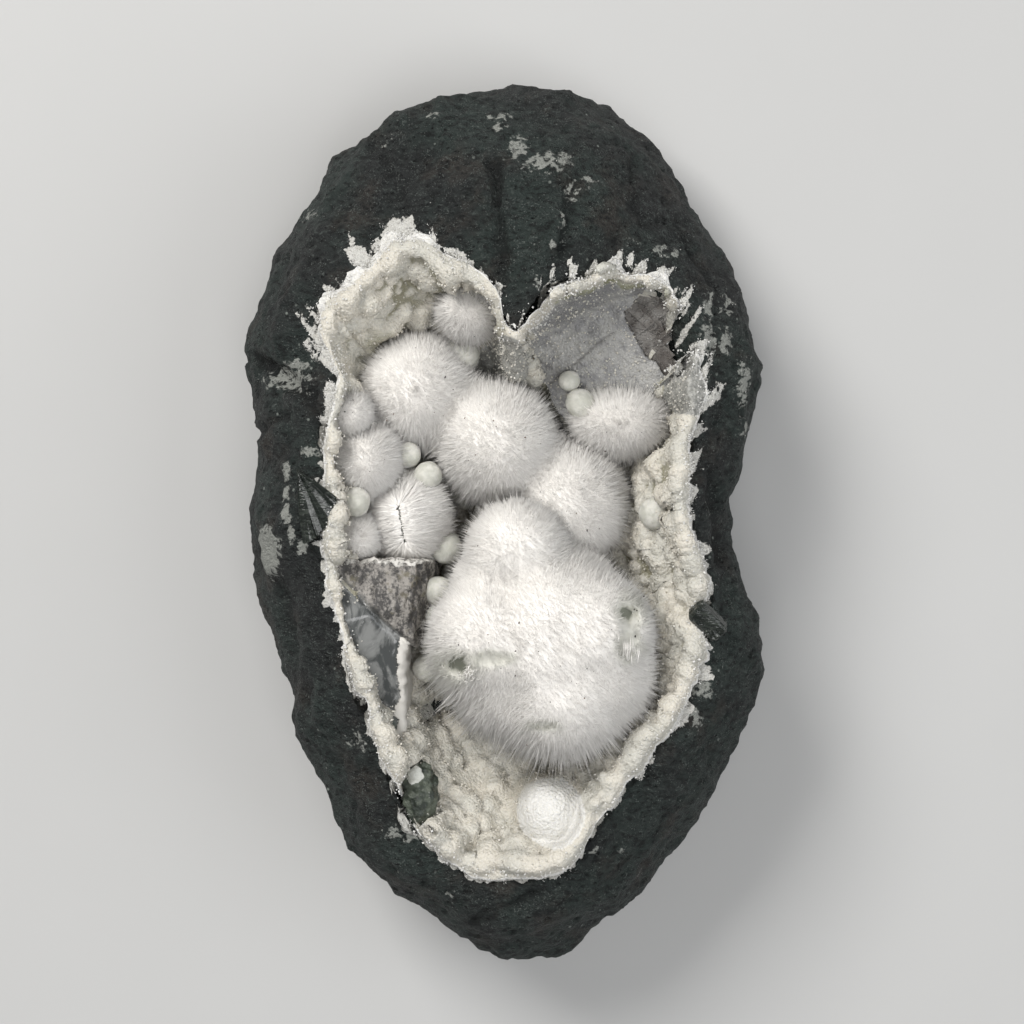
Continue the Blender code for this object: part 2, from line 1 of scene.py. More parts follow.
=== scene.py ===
"""Okenite puffballs in a quartz-lined hollow of a basalt rock: the finished surfaces.

The rock lies on its flat back with the hollow up. Lengths are in millimetres until a mesh is made,
because that is how the specimen would be measured, and every mesh is then written in metres.
"""

from __future__ import annotations

import itertools
import logging
import math
from dataclasses import dataclass, field
from enum import Enum

import bmesh
import bpy
import numpy as np
from bmesh.types import BMesh
from bpy.types import Material, Mesh, NodeSocket, Object
from mathutils import Matrix, Vector, kdtree
from mathutils.bvhtree import BVHTree


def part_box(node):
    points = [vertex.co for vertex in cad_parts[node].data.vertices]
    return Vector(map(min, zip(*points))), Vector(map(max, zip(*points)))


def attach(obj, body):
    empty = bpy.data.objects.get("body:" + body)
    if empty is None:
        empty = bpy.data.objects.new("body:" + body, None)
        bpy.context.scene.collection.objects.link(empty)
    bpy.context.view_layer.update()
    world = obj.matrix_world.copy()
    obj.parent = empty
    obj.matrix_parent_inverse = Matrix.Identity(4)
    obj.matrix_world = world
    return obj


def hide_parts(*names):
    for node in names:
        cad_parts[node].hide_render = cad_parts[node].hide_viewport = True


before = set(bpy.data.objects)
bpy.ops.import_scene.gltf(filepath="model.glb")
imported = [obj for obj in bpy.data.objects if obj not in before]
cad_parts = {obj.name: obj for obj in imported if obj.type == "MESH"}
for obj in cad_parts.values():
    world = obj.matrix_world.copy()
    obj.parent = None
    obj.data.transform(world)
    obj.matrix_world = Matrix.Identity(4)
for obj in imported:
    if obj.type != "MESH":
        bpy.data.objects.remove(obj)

Array = np.ndarray
Pair = tuple[float, float]
Triple = tuple[float, float, float]
Colour = Triple
Dice = np.random.Generator

LOG = logging.getLogger("okenite_specimen")
MM = 0.001
BODY = "root"

# Where the camera stands over the specimen, and its lens
CAMERA_PLACE_MM = (1.97, 1.46, 509.5)
LENS_MM = 100.0
SENSOR_MM = 36.0

# A point above everything, from which heights are measured downwards
OVERHEAD_MM = 90.0


class Slot(Enum):
    """The names of the specimen's finishes."""

    BASALT = "basalt"
    DRUSE = "druse"
    OKENITE = "okenite"
    PEARL = "pearl"
    CALCITE = "calcite"
    DARK = "dark_crystal"
    GREEN = "green_nodule"


def lattice_noise(points: Array, span: float, seed: int = 0) -> Array:
    """Smooth noise from -1 to 1.

    Args:
        points: Places, one a row.
        span: Size of its lumps.
        seed: Picks another noise.

    Returns:
        One value for each place.
    """
    cell = points / span + 31.7 * seed
    base = np.floor(cell).astype(np.int64)
    part = cell - base
    part = part * part * (3.0 - 2.0 * part)
    total = np.zeros(len(points))
    for corner in itertools.product((0, 1), repeat=3):
        key = base + corner
        mixed = (key[:, 0] * 73856093) ^ (key[:, 1] * 19349663) ^ (key[:, 2] * 83492791)
        mixed = ((mixed ^ (mixed >> 13)) * 1274126177) & 0xFFFFFFFF
        value = ((mixed >> 8) & 0xFFFF) / 32767.5 - 1.0
        total += value * np.prod(np.where(corner, part, 1.0 - part), axis=1)
    return total


def layered_noise(points: Array, span: float, layers: int, seed: int = 0) -> Array:
    """Several noises, each of half the span and half the strength of the one before.

    Args:
        points: Places, one a row.
        span: Size of the largest lumps.
        layers: How many noises are summed.
        seed: Picks another noise.

    Returns:
        One value for each place.
    """
    return sum(lattice_noise(points, span / 2**n, seed + n) / 2**n for n in range(layers))


def ridged_noise(points: Array, span: float, seed: int = 0) -> Array:
    """Noise with sharp ridges, from 0 to 1."""
    return 1.0 - np.abs(lattice_noise(points, span, seed))


def unit(vectors: Array) -> Array:
    """The vectors at length 1."""
    return vectors / np.maximum(np.linalg.norm(vectors, axis=-1, keepdims=True), 1e-9)


def smooth_step(value: Array, low: float, high: float) -> Array:
    """Goes smoothly from 0 at low to 1 at high."""
    share = np.clip((value - low) / (high - low), 0.0, 1.0)
    return share * share * (3.0 - 2.0 * share)


def mesh_points(mesh: Mesh) -> Array:
    """A mesh's points in millimetres, one a row."""
    flat = np.empty(len(mesh.vertices) * 3, np.float32)
    mesh.vertices.foreach_get("co", flat)
    return flat.reshape(-1, 3).astype(float) / MM


def mesh_normals(mesh: Mesh) -> Array:
    """A mesh's normals at its points."""
    flat = np.empty(len(mesh.vertices) * 3, np.float32)
    mesh.vertex_normals.foreach_get("vector", flat)
    return flat.reshape(-1, 3).astype(float)


def surface(mesh: Mesh) -> tuple[Array, Array]:
    """A mesh's points and the normals at them."""
    return mesh_points(mesh), mesh_normals(mesh)


def point_areas(mesh: Mesh) -> Array:
    """How many square millimetres of the surface belong to each point."""
    areas = np.empty(len(mesh.polygons), np.float32)
    sizes = np.empty(len(mesh.polygons), np.int32)
    corners = np.empty(len(mesh.loops), np.int32)
    mesh.polygons.foreach_get("area", areas)
    mesh.polygons.foreach_get("loop_total", sizes)
    mesh.loops.foreach_get("vertex_index", corners)
    return np.bincount(corners, np.repeat(areas / sizes, sizes), len(mesh.vertices)) / MM**2


def soften(mesh: Mesh, facing: Array, share: float) -> None:
    """Turns the shading of many small copies towards the surface that they stand on.

    Args:
        mesh: The joined copies, each of the same number of points.
        facing: For each copy the way that the surface under it faces.
        share: How far the shading is turned.
    """
    own = mesh_normals(mesh)
    wanted = np.repeat(facing, len(own) // len(facing), axis=0)
    mesh.polygons.foreach_set("use_smooth", np.ones(len(mesh.polygons), bool))
    mesh.normals_split_custom_set_from_vertices(unit(share * wanted + (1.0 - share) * own).tolist())


def move_points(mesh: Mesh, points: Array) -> None:
    """Puts a mesh's points where these are, in millimetres."""
    mesh.vertices.foreach_set("co", (points * MM).astype(np.float32).ravel())
    mesh.update()


def mark(mesh: Mesh, name: str, values: Array) -> None:
    """Keeps one number for each point, for the materials to read."""
    layer = mesh.attributes.new(name, "FLOAT", "POINT")
    layer.data.foreach_set("value", values.astype(np.float32))


def marked(mesh: Mesh, name: str) -> Array:
    """The numbers that mark kept."""
    values = np.empty(len(mesh.vertices), np.float32)
    mesh.attributes[name].data.foreach_get("value", values)
    return values


def mark_copies(mesh: Mesh, name: str, values: Array) -> None:
    """Keeps one number for each of the small copies that a mesh was joined from."""
    mark(mesh, name, np.repeat(values, len(mesh.vertices) // len(values)))


def mark_place(mesh: Mesh, name: str, values: Array) -> None:
    """Keeps one place, in millimetres, for each point, for the materials to read."""
    layer = mesh.attributes.new(name, "FLOAT_VECTOR", "POINT")
    layer.data.foreach_set("vector", (values * MM).astype(np.float32).ravel())


def tree_of(mesh: Mesh) -> BVHTree:
    """A search tree over a mesh, in millimetres."""
    points = [Vector(p) for p in mesh_points(mesh)]
    return BVHTree.FromPolygons(points, [tuple(face.vertices) for face in mesh.polygons])


def finder_of(points: Array) -> kdtree.KDTree:
    """A finder of the nearest of these places."""
    finder = kdtree.KDTree(len(points))
    for number, point in enumerate(points):
        finder.insert(Vector(point), number)
    finder.balance()
    return finder


def from_line(points: Array, start: Pair, end: Pair) -> tuple[Array, Array]:
    """Measures places from a straight stretch, seen from above.

    Args:
        points: Places, one a row.
        start: Where the stretch begins.
        end: Where it ends.

    Returns:
        For each place the way from the nearest point of the stretch, and that point's share of it.
    """
    begin, run = np.array(start), np.subtract(end, start)
    share = np.clip((points[:, :2] - begin) @ run / (run @ run), 0.0, 1.0)
    return points[:, :2] - begin - share[:, None] * run, share


def corners_mm(name: str) -> list[Array]:
    """The lowest and the highest corner of a CAD node's box."""
    return [np.array(corner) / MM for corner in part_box(name)]


def node_tree(*names: str) -> BVHTree:
    """A search tree over CAD nodes, in millimetres."""
    points, faces = [], []
    for name in names:
        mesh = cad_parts[name].data
        faces += [tuple(number + len(points) for number in face.vertices) for face in mesh.polygons]
        points += [Vector(point) for point in mesh_points(mesh)]
    return BVHTree.FromPolygons(points, faces)


def heights(tree: BVHTree, places: Array) -> Array:
    """How high a surface is over each place.

    Args:
        tree: The surface.
        places: Rows that begin with x and y.

    Returns:
        Heights, not a number where the surface has nothing there.
    """
    down = Vector((0.0, 0.0, -1.0))
    found = np.full(len(places), np.nan)
    for number, place in enumerate(places):
        hit = tree.ray_cast(Vector((place[0], place[1], OVERHEAD_MM)), down)[0]
        if hit is not None:
            found[number] = hit.z
    return found


def node_copy(name: str) -> BMesh:
    """A copy of a CAD node's mesh, with its loose triangles joined."""
    bm = bmesh.new()
    bm.from_mesh(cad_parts[name].data)
    bmesh.ops.remove_doubles(bm, verts=bm.verts, dist=1e-6)
    return bm


def to_mesh(bm: BMesh, scale: float = 1.0) -> Mesh:
    """Writes a bmesh to a mesh and frees it.

    Args:
        bm: What the mesh is made from.
        scale: What its points are multiplied by.

    Returns:
        The mesh.
    """
    if scale != 1.0:
        bmesh.ops.scale(bm, vec=(scale, scale, scale), verts=bm.verts)
    mesh = bpy.data.meshes.new("shape")
    bm.to_mesh(mesh)
    bm.free()
    return mesh


def linked(name: str, data: bpy.types.ID) -> Object:
    """A new object of this data, in the scene."""
    made = bpy.data.objects.new(name, data)
    bpy.context.scene.collection.objects.link(made)
    return made


def remeshed(mesh: Mesh, voxel: float, smoothing: int = 0) -> Mesh:
    """The same shape in even small faces.

    Args:
        mesh: What is remeshed. It is removed.
        voxel: Size of the faces, in millimetres.
        smoothing: How many times the result is smoothed.

    Returns:
        A new mesh.
    """
    holder = linked("holder", mesh)
    remesh = holder.modifiers.new("even_faces", "REMESH")
    remesh.mode = "VOXEL"
    remesh.voxel_size = voxel * MM
    if smoothing:
        smooth = holder.modifiers.new("rounded", "SMOOTH")
        smooth.factor = 0.5
        smooth.iterations = smoothing
    made = bpy.data.meshes.new_from_object(holder.evaluated_get(bpy.context.evaluated_depsgraph_get()))
    bpy.data.objects.remove(holder)
    bpy.data.meshes.remove(mesh)
    return made


def add_piece(
    name: str,
    mesh: Mesh,
    material: Material,
    stands_for: tuple[str, ...] = (),
    smooth: bool = True,
) -> Object:
    """Links a finished mesh as a piece of the specimen.

    Args:
        name: The piece's name.
        mesh: Its mesh, in place and in metres.
        material: Its finish.
        stands_for: The CAD nodes that it replaces.
        smooth: Whether it is shaded smooth.

    Returns:
        The piece.
    """
    mesh.name = name
    mesh.materials.clear()
    mesh.materials.append(material)
    mesh.polygons.foreach_set("use_smooth", np.full(len(mesh.polygons), smooth))
    piece = linked(name, mesh)
    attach(piece, BODY)
    if stands_for:
        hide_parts(*stands_for)
    triangles = sum(len(face.vertices) - 2 for face in mesh.polygons)
    LOG.info("%s: %d triangles", name, triangles)
    return piece


@dataclass(frozen=True)
class Pattern:
    """A small shape that is repeated many times: its points and its triangles."""

    points: Array
    triangles: Array

    @classmethod
    def cone(cls, sides: int) -> Pattern:
        """A closed spike of radius 1 and height 1 that stands on the origin.

        Args:
            sides: How many flat sides it has.

        Returns:
            The shape.
        """
        bm = bmesh.new()
        bmesh.ops.create_cone(
            bm, cap_ends=True, cap_tris=False, segments=sides, radius1=1.0, radius2=0.0, depth=1.0
        )
        bmesh.ops.remove_doubles(bm, verts=bm.verts, dist=1e-4)
        bmesh.ops.translate(bm, vec=(0.0, 0.0, 0.5), verts=bm.verts)
        return cls.taken_from(bm)

    @classmethod
    def crystal(cls, sides: int, shoulder: float) -> Pattern:
        """A closed prism that ends in a point.

        Args:
            sides: How many flat sides it has.
            shoulder: The height at which its point begins.

        Returns:
            The shape.
        """
        bm = bmesh.new()
        bmesh.ops.create_cone(
            bm, cap_ends=True, cap_tris=False, segments=sides, radius1=0.86, radius2=1.0, depth=shoulder
        )
        bmesh.ops.translate(bm, vec=(0.0, 0.0, shoulder / 2.0), verts=bm.verts)
        top = max(bm.faces, key=lambda face: face.calc_center_median().z)
        bmesh.ops.poke(bm, faces=[top], offset=1.0 - shoulder)
        return cls.taken_from(bm)

    @classmethod
    def splinter(cls, shoulder: float) -> Pattern:
        """A closed four-sided splinter, pointed at both ends.

        Args:
            shoulder: The height at which it is widest.

        Returns:
            The shape.
        """
        bm = bmesh.new()
        bmesh.ops.create_cone(
            bm, cap_ends=True, cap_tris=False, segments=4, radius1=1.0, radius2=0.0, depth=1.0 - shoulder
        )
        bmesh.ops.remove_doubles(bm, verts=bm.verts, dist=1e-4)
        bmesh.ops.translate(bm, vec=(0.0, 0.0, (1.0 + shoulder) / 2.0), verts=bm.verts)
        base = min(bm.faces, key=lambda face: face.calc_center_median().z)
        bmesh.ops.poke(bm, faces=[base], offset=shoulder)
        return cls.taken_from(bm)

    @classmethod
    def grain(cls) -> Pattern:
        """A small lump of radius 1."""
        bm = bmesh.new()
        bmesh.ops.create_icosphere(bm, subdivisions=1, radius=1.0)
        return cls.taken_from(bm)

    @classmethod
    def taken_from(cls, bm: BMesh) -> Pattern:
        """Reads the points and triangles of a bmesh and frees it."""
        bmesh.ops.triangulate(bm, faces=bm.faces)
        bmesh.ops.recalc_face_normals(bm, faces=bm.faces)
        bm.verts.index_update()
        points = np.array([vert.co[:] for vert in bm.verts])
        triangles = np.array([[vert.index for vert in face.verts] for face in bm.faces])
        bm.free()
        return cls(points, triangles)

    def strewn(self, places: Array, ways: Array, widths: Array, lengths: Array, dice: Dice) -> Mesh:
        """One joined mesh with a copy of the shape at each place.

        Args:
            places: Where each copy stands, in millimetres.
            ways: Where it points.
            widths: Half its width.
            lengths: Its length.
            dice: Spins it about the way that it points.

        Returns:
            The mesh, in metres.
        """
        axis = unit(ways)
        aside = unit(np.cross(axis, unit(dice.normal(size=axis.shape))))
        across = np.cross(axis, aside)
        wide, long = widths[:, None], lengths[:, None]
        frames = np.stack([aside * wide, across * wide, axis * long], axis=2)
        points = np.einsum("nij,vj->nvi", frames, self.points) + places[:, None, :]
        offsets = np.arange(len(places)) * len(self.points)
        corners = (self.triangles[None] + offsets[:, None, None]).ravel()
        mesh = bpy.data.meshes.new("copies")
        mesh.vertices.add(points.shape[0] * points.shape[1])
        mesh.vertices.foreach_set("co", (points * MM).astype(np.float32).ravel())
        mesh.loops.add(len(corners))
        mesh.loops.foreach_set("vertex_index", corners.astype(np.int32))
        mesh.polygons.add(len(corners) // 3)
        mesh.polygons.foreach_set("loop_start", np.arange(0, len(corners), 3, dtype=np.int32))
        mesh.update(calc_edges=True)
        return mesh


class Maths:
    """A number or colour in a material that Python's operators work on."""

    def __init__(self, shader: Shader, socket: NodeSocket) -> None:
        """Wraps a socket of the shader's nodes."""
        self.shader = shader
        self.socket = socket

    def _with(self, operation: str, *values: object) -> Maths:
        """The result of a Math node."""
        return self.shader.add("ShaderNodeMath", {"operation": operation}, dict(enumerate(values)))

    def __add__(self, other: object) -> Maths:
        """Sum."""
        return self._with("ADD", self, other)

    def __radd__(self, other: object) -> Maths:
        """Sum with a number on the left."""
        return self._with("ADD", other, self)

    def __sub__(self, other: object) -> Maths:
        """Difference."""
        return self._with("SUBTRACT", self, other)

    def __rsub__(self, other: object) -> Maths:
        """Difference from a number on the left."""
        return self._with("SUBTRACT", other, self)

    def __mul__(self, other: object) -> Maths:
        """Product."""
        return self._with("MULTIPLY", self, other)

    def __rmul__(self, other: object) -> Maths:
        """Product with a number on the left."""
        return self._with("MULTIPLY", other, self)

    def step(self, low: float, high: float) -> Maths:
        """Goes smoothly from 0 at low to 1 at high."""
        inputs = {"Value": self, "From Min": low, "From Max": high}
        return self.shader.add("ShaderNodeMapRange", {"interpolation_type": "SMOOTHSTEP"}, inputs)

    def top(self, other: object) -> Maths:
        """The larger of two values."""
        return self._with("MAXIMUM", self, other)


class Shader:
    """A Principled material whose nodes are added one by one."""

    def __init__(self, name: str, **constants: object) -> None:
        """Makes the material.

        Args:
            name: Its name.
            **constants: Values of the Principled node's sockets that are the same all over.
        """
        self.material = bpy.data.materials.new(name)
        self.material.use_nodes = True
        self.tree = self.material.node_tree
        self.surface = self.tree.nodes["Principled BSDF"]
        for key, value in constants.items():
            self.surface.inputs[key.replace("_", " ")].default_value = value
        self.place = self.add("ShaderNodeTexCoord", {}, {}, "Object")

    def add(self, kind: str, settings: dict, inputs: dict, output: str | int = 0) -> Maths:
        """Adds one node.

        Args:
            kind: Its type.
            settings: Its own settings, set first.
            inputs: Values or links of its sockets, by name or number.
            output: The output that is returned.

        Returns:
            The wrapped output.
        """
        node = self.tree.nodes.new(kind)
        for key, value in settings.items():
            setattr(node, key, value)
        for key, value in inputs.items():
            self.feed(node.inputs[key], value)
        return Maths(self, node.outputs[output])

    def feed(self, socket: NodeSocket, value: object) -> None:
        """Links a wrapped output to a socket, or sets the socket's value."""
        if isinstance(value, Maths):
            self.tree.links.new(value.socket, socket)
        elif isinstance(value, tuple) and len(value) == 3 and socket.type == "RGBA":
            socket.default_value = (*value, 1.0)
        else:
            socket.default_value = value

    def turned(self, stretch: Triple, turn_deg: float = 0.0) -> Maths:
        """Object coordinates, turned about Z and stretched."""
        inputs = {"Vector": self.place, "Rotation": (0.0, 0.0, math.radians(turn_deg)), "Scale": stretch}
        return self.add("ShaderNodeMapping", {}, inputs)

    def noise(self, span: float, detail: float = 3.0, place: Maths | None = None, **settings: float) -> Maths:
        """Noise whose lumps are this many millimetres across, from 0 to 1."""
        inputs = {"Vector": place or self.place, "Scale": 1.0 / (span * MM)}
        return self.add("ShaderNodeTexNoise", {}, {**inputs, "Detail": detail, "Roughness": 0.6, **settings})

    def cells(self, span: float, place: Maths | None = None) -> Maths:
        """The distance to the nearest of scattered points this many millimetres apart."""
        inputs = {"Vector": place or self.place, "Scale": 1.0 / (span * MM)}
        return self.add("ShaderNodeTexVoronoi", {}, inputs, "Distance")

    def mark(self, name: str, output: str = "Fac") -> Maths:
        """A number, or a place, kept at each point of the mesh."""
        return self.add("ShaderNodeAttribute", {"attribute_name": name}, {}, output)

    def ragged(self, name: str, span: float, by: float, detail: float = 4.0) -> Maths:
        """A mark with noise of this span and strength added, for ragged borders."""
        return self.mark(name) + (self.noise(span, detail) - 0.5) * by

    def mix(self, factor: object, one: object, two: object) -> Maths:
        """One colour where the factor is 0 and the other where it is 1."""
        inputs = {0: factor, 6: one, 7: two}
        return self.add("ShaderNodeMix", {"data_type": "RGBA", "clamp_factor": True}, inputs, 2)

    def bump(self, height: Maths, distance: float) -> Maths:
        """A normal that shows the height, whose full range is this many millimetres."""
        return self.add("ShaderNodeBump", {}, {"Height": height, "Distance": distance * MM})

    def finish(self, colour: object, roughness: object, normal: Maths | None = None) -> Material:
        """Feeds the Principled node.

        Args:
            colour: Its base colour.
            roughness: Its roughness.
            normal: Its normal, where the surface has bumps.

        Returns:
            The material.
        """
        self.feed(self.surface.inputs["Base Color"], colour)
        self.feed(self.surface.inputs["Roughness"], roughness)
        if normal:
            self.feed(self.surface.inputs["Normal"], normal)
        return self.material


@dataclass(frozen=True)
class BasaltFinish:
    """Dark green-grey basalt with brown and green patches, small pits and white crust where it is marked."""

    green: Colour = (0.020, 0.029, 0.026)
    grey: Colour = (0.014, 0.016, 0.016)
    brown: Colour = (0.032, 0.028, 0.024)
    # Painted highlight: the lighter green-grey of the raised streaks
    streak_highlight: Colour = (0.070, 0.084, 0.077)
    # Painted shade: the near-black of the pits, the low streaks and the grooves
    black: Colour = (0.003, 0.004, 0.004)
    speck: Colour = (0.20, 0.22, 0.20)
    glint: Colour = (0.14, 0.155, 0.145)
    smudged: Colour = (0.38, 0.39, 0.36)
    chalk: Colour = (0.58, 0.565, 0.52)
    white: Colour = (0.74, 0.73, 0.69)

    def made(self) -> Material:
        """Builds the material."""
        shader = Shader("basalt_rock", IOR=1.5, Specular_IOR_Level=0.35)
        grain = shader.noise(0.55, 4.0)
        streaked = shader.noise(1.5, 4.0, shader.turned((1.0, 1.9, 1.0), 38.0))
        colour = shader.mix(shader.noise(17.0, 4.0).step(0.40, 0.62), self.green, self.grey)
        colour = shader.mix(shader.noise(9.0, 5.0).step(0.52, 0.68) * 0.8, colour, self.brown)
        # Painted highlight on the raised streaks and grains
        colour = shader.mix((streaked * 0.6 + grain * 0.4).step(0.52, 0.68) * 0.65, colour, self.streak_highlight)
        # Painted shade in the grooves, from the dark mark
        colour = shader.mix(shader.mark("dark"), colour, self.black)
        pits = shader.cells(1.9, place=shader.turned((1.0, 1.6, 1.0), 40.0)).step(0.20, 0.10)
        pits = pits * shader.noise(3.0, 2.0).step(0.46, 0.56)
        # Painted shade: the pits and the low parts of the streaks are painted near black
        hollows = (1.0 - streaked.step(0.36, 0.50)).top(pits)
        colour = shader.mix(hollows * 0.85, colour, self.black)
        specks = shader.cells(2.6).step(0.13, 0.07) * shader.noise(7.0, 2.0).step(0.50, 0.62)
        colour = shader.mix(specks, colour, self.speck)
        fingers = shader.noise(1.3, 4.0, shader.mark("around", "Vector"))
        ragged = fingers * 0.65 + shader.noise(0.42, 3.0) * 0.35
        crust = (shader.mark("white") + (ragged - 0.5) * 1.5).step(0.34, 0.44)
        smudge = shader.ragged("smear", 1.1, 2.6, 6.0).step(0.50, 0.80)
        colour = shader.mix(smudge * 0.8, colour, self.smudged)
        colour = shader.mix(crust, colour, shader.mix(grain.step(0.30, 0.55), self.chalk, self.white))
        grit = shader.noise(0.28, 3.0)
        # Painted glints: light specks that stand for fine grit catching the light
        glints = grit.step(0.57, 0.67) * shader.noise(2.2, 3.0).step(0.40, 0.58)
        colour = shader.mix(glints * 0.8 * (1.0 - crust), colour, self.glint)
        roughness = 0.40 + 0.5 * grain
        height = streaked * 0.8 + grain * 0.6 + grit * 0.35 - pits * 0.9 + crust * 0.4
        return shader.finish(colour, roughness, shader.bump(height, 1.1))


@dataclass(frozen=True)
class DruseFinish:
    """Sugary quartz: cream to grey-white, olive in stains and as painted shade deep down, white at its broken
    edge.
    """

    cream: Colour = (0.66, 0.625, 0.55)
    grey: Colour = (0.56, 0.545, 0.49)
    olive: Colour = (0.29, 0.275, 0.20)
    white: Colour = (0.76, 0.75, 0.72)
    smoky: Colour = (0.22, 0.22, 0.205)
    clear: Colour = (0.42, 0.415, 0.39)
    sparkle: Colour = (0.92, 0.91, 0.88)
    dirt: Colour = (0.20, 0.17, 0.11)

    def made(self, name: str, granular: bool = True) -> Material:
        """Builds the material.

        Args:
            name: Its name.
            granular: Whether the grains show as bumps.

        Returns:
            The material.
        """
        glow = {"Subsurface_Weight": 0.2, "Subsurface_Scale": 1.2 * MM, "Subsurface_Radius": (1.0, 0.95, 0.8)}
        shader = Shader(name, IOR=1.54, **glow)
        grains = shader.cells(0.55)
        colour = shader.mix(shader.noise(6.0, 4.0).step(0.38, 0.62), self.cream, self.grey)
        # Olive: real stains, and painted shade in the deep places and crevices
        colour = shader.mix(shader.ragged("stain_and_shade", 4.0, 0.7).step(0.35, 0.85), colour, self.olive)
        glassy = shader.mix(shader.noise(1.2, 4.0).step(0.36, 0.62), self.smoky, self.clear)
        colour = shader.mix(shader.ragged("grey", 1.8, 0.8).step(0.35, 0.65), colour, glassy)
        colour = shader.mix(shader.ragged("edge", 1.4, 0.9).step(0.35, 0.65), colour, self.white)
        # Painted sparkle: bright specks that stand for light glinting off crystal faces
        sparkle = grains.step(0.16, 0.05) * shader.noise(0.9, 2.0).step(0.52, 0.60)
        colour = shader.mix(sparkle * 0.8, colour, self.sparkle)
        dirt = shader.cells(2.3).step(0.10, 0.05) * shader.noise(5.0, 2.0).step(0.50, 0.60)
        colour = shader.mix(dirt * 0.35, colour, self.dirt)
        roughness = shader.noise(0.8, 2.0) * 0.5 + 0.12
        if not granular:
            return shader.finish(colour, roughness)
        height = grains * -1.0 + shader.noise(0.3, 3.0) * 0.8
        return shader.finish(colour, roughness, shader.bump(height, 0.22))


@dataclass(frozen=True)
class CoatFinish:
    """Grey sugary quartz over calcite, thin enough that the dark crystal shows through it."""

    pale: Colour = (0.40, 0.395, 0.38)
    dark: Colour = (0.21, 0.21, 0.215)
    olive: Colour = (0.27, 0.27, 0.15)
    white: Colour = (0.66, 0.65, 0.62)
    sparkle: Colour = (0.88, 0.88, 0.87)
    crack: Colour = (0.06, 0.055, 0.05)

    def made(self) -> Material:
        """Builds the material."""
        shader = Shader("grey_quartz_coat", IOR=1.54)
        grains = shader.cells(0.5)
        cloud = shader.noise(7.5, 4.0) * 0.7 + shader.noise(1.2, 3.0) * 0.3
        colour = shader.mix(cloud.step(0.40, 0.60), self.dark, self.pale)
        colour = shader.mix(shader.ragged("stain_and_shade", 1.6, 1.0, 3.0).step(0.4, 0.7), colour, self.olive)
        colour = shader.mix(shader.mark("edge"), colour, self.white)
        # Painted sparkle: bright specks that stand for light glinting off crystal faces
        sparkle = grains.step(0.17, 0.05) * shader.noise(0.9, 2.0).step(0.50, 0.58)
        colour = shader.mix(sparkle, colour, self.sparkle)
        colour = shader.mix(shader.mark("crack") * 0.9, colour, self.crack)
        height = shader.noise(0.35, 3.0) - grains * 0.8
        return shader.finish(colour, shader.noise(0.7, 2.0) * 0.5 + 0.1, shader.bump(height, 0.2))


@dataclass(frozen=True)
class OkeniteFinish:
    """Warm white fibres, with faint grey and pink patches."""

    white: Colour = (0.82, 0.80, 0.77)
    shade: Colour = (0.74, 0.715, 0.68)
    single: Colour = (0.50, 0.48, 0.45)
    # Grey-green around the pits: their tint, and painted shade
    pit_tint_and_shade: Colour = (0.52, 0.52, 0.46)
    # Painted shade in the deepest part of each pit
    deep: Colour = (0.24, 0.25, 0.21)

    def made(self, name: str, gain: float = 1.0) -> Material:
        """Builds the material.

        Args:
            name: Its name.
            gain: How much its colours are brightened; above 1 this is painted light.

        Returns:
            The material.
        """
        shader = Shader(name, IOR=1.5, Sheen_Weight=0.15, Specular_IOR_Level=0.3)
        bright = tuple(min(0.97, value * gain) for value in self.white)
        dull = tuple(value * gain for value in self.shade)
        patches = shader.noise(7.0, 3.0).step(0.50, 0.80) * 0.6
        fine = shader.noise(0.5, 3.0).step(0.55, 0.85) * 0.35
        pit = shader.mark("pit")
        colour = shader.mix(patches + fine, bright, dull)
        colour = shader.mix(shader.mark("tone") * 0.45, colour, self.single)
        # The pit mark: grey-green tint with painted shade, darkest at the bottom of each pit
        colour = shader.mix(pit.step(0.0, 0.8) * 0.9, colour, self.pit_tint_and_shade)
        colour = shader.mix(pit.step(0.70, 1.0), colour, self.deep)
        return shader.finish(colour, 0.6)


@dataclass(frozen=True)
class PearlFinish:
    """Smooth, faintly green and waxy."""

    pale: Colour = (0.635, 0.625, 0.58)
    green: Colour = (0.50, 0.50, 0.45)

    def made(self) -> Material:
        """Builds the material."""
        glow = {"Subsurface_Weight": 0.5, "Subsurface_Scale": 1.5 * MM, "Subsurface_Radius": (1.0, 1.0, 0.85)}
        shader = Shader("pale_green_pearl", IOR=1.45, **glow)
        colour = shader.mix(shader.noise(1.9, 4.0).step(0.36, 0.60), self.pale, self.green)
        height = shader.noise(0.45, 3.0)
        return shader.finish(colour, shader.noise(0.7, 2.0) * 0.3 + 0.45, shader.bump(height, 0.12))


@dataclass(frozen=True)
class CalciteFinish:
    """Smoky see-through calcite with pale cleavage cracks."""

    smoke: Colour = (0.19, 0.17, 0.155)
    clear: Colour = (0.45, 0.43, 0.405)
    crack: Colour = (0.55, 0.53, 0.50)
    crumb: Colour = (0.62, 0.60, 0.57)

    def made(self) -> Material:
        """Builds the material."""
        shader = Shader("smoky_calcite", IOR=1.62, Transmission_Weight=0.45)
        cloud = shader.noise(4.0, 4.0)
        colour = shader.mix(cloud.step(0.36, 0.64), self.smoke, self.clear)
        lines = shader.noise(0.9, 3.0, shader.turned((1.0, 7.0, 1.0), 48.0)).step(0.58, 0.70)
        across = shader.noise(1.1, 3.0, shader.turned((7.0, 1.0, 1.0), 40.0)).step(0.60, 0.72)
        lines = lines.top(across)
        colour = shader.mix(lines * 0.5, colour, self.crack)
        crumbs = shader.noise(1.1, 5.0).step(0.62, 0.72)
        colour = shader.mix(crumbs * 0.7, colour, self.crumb)
        roughness = 0.10 + 0.5 * crumbs.top(lines)
        return shader.finish(colour, roughness, shader.bump(lines + crumbs, 0.12))


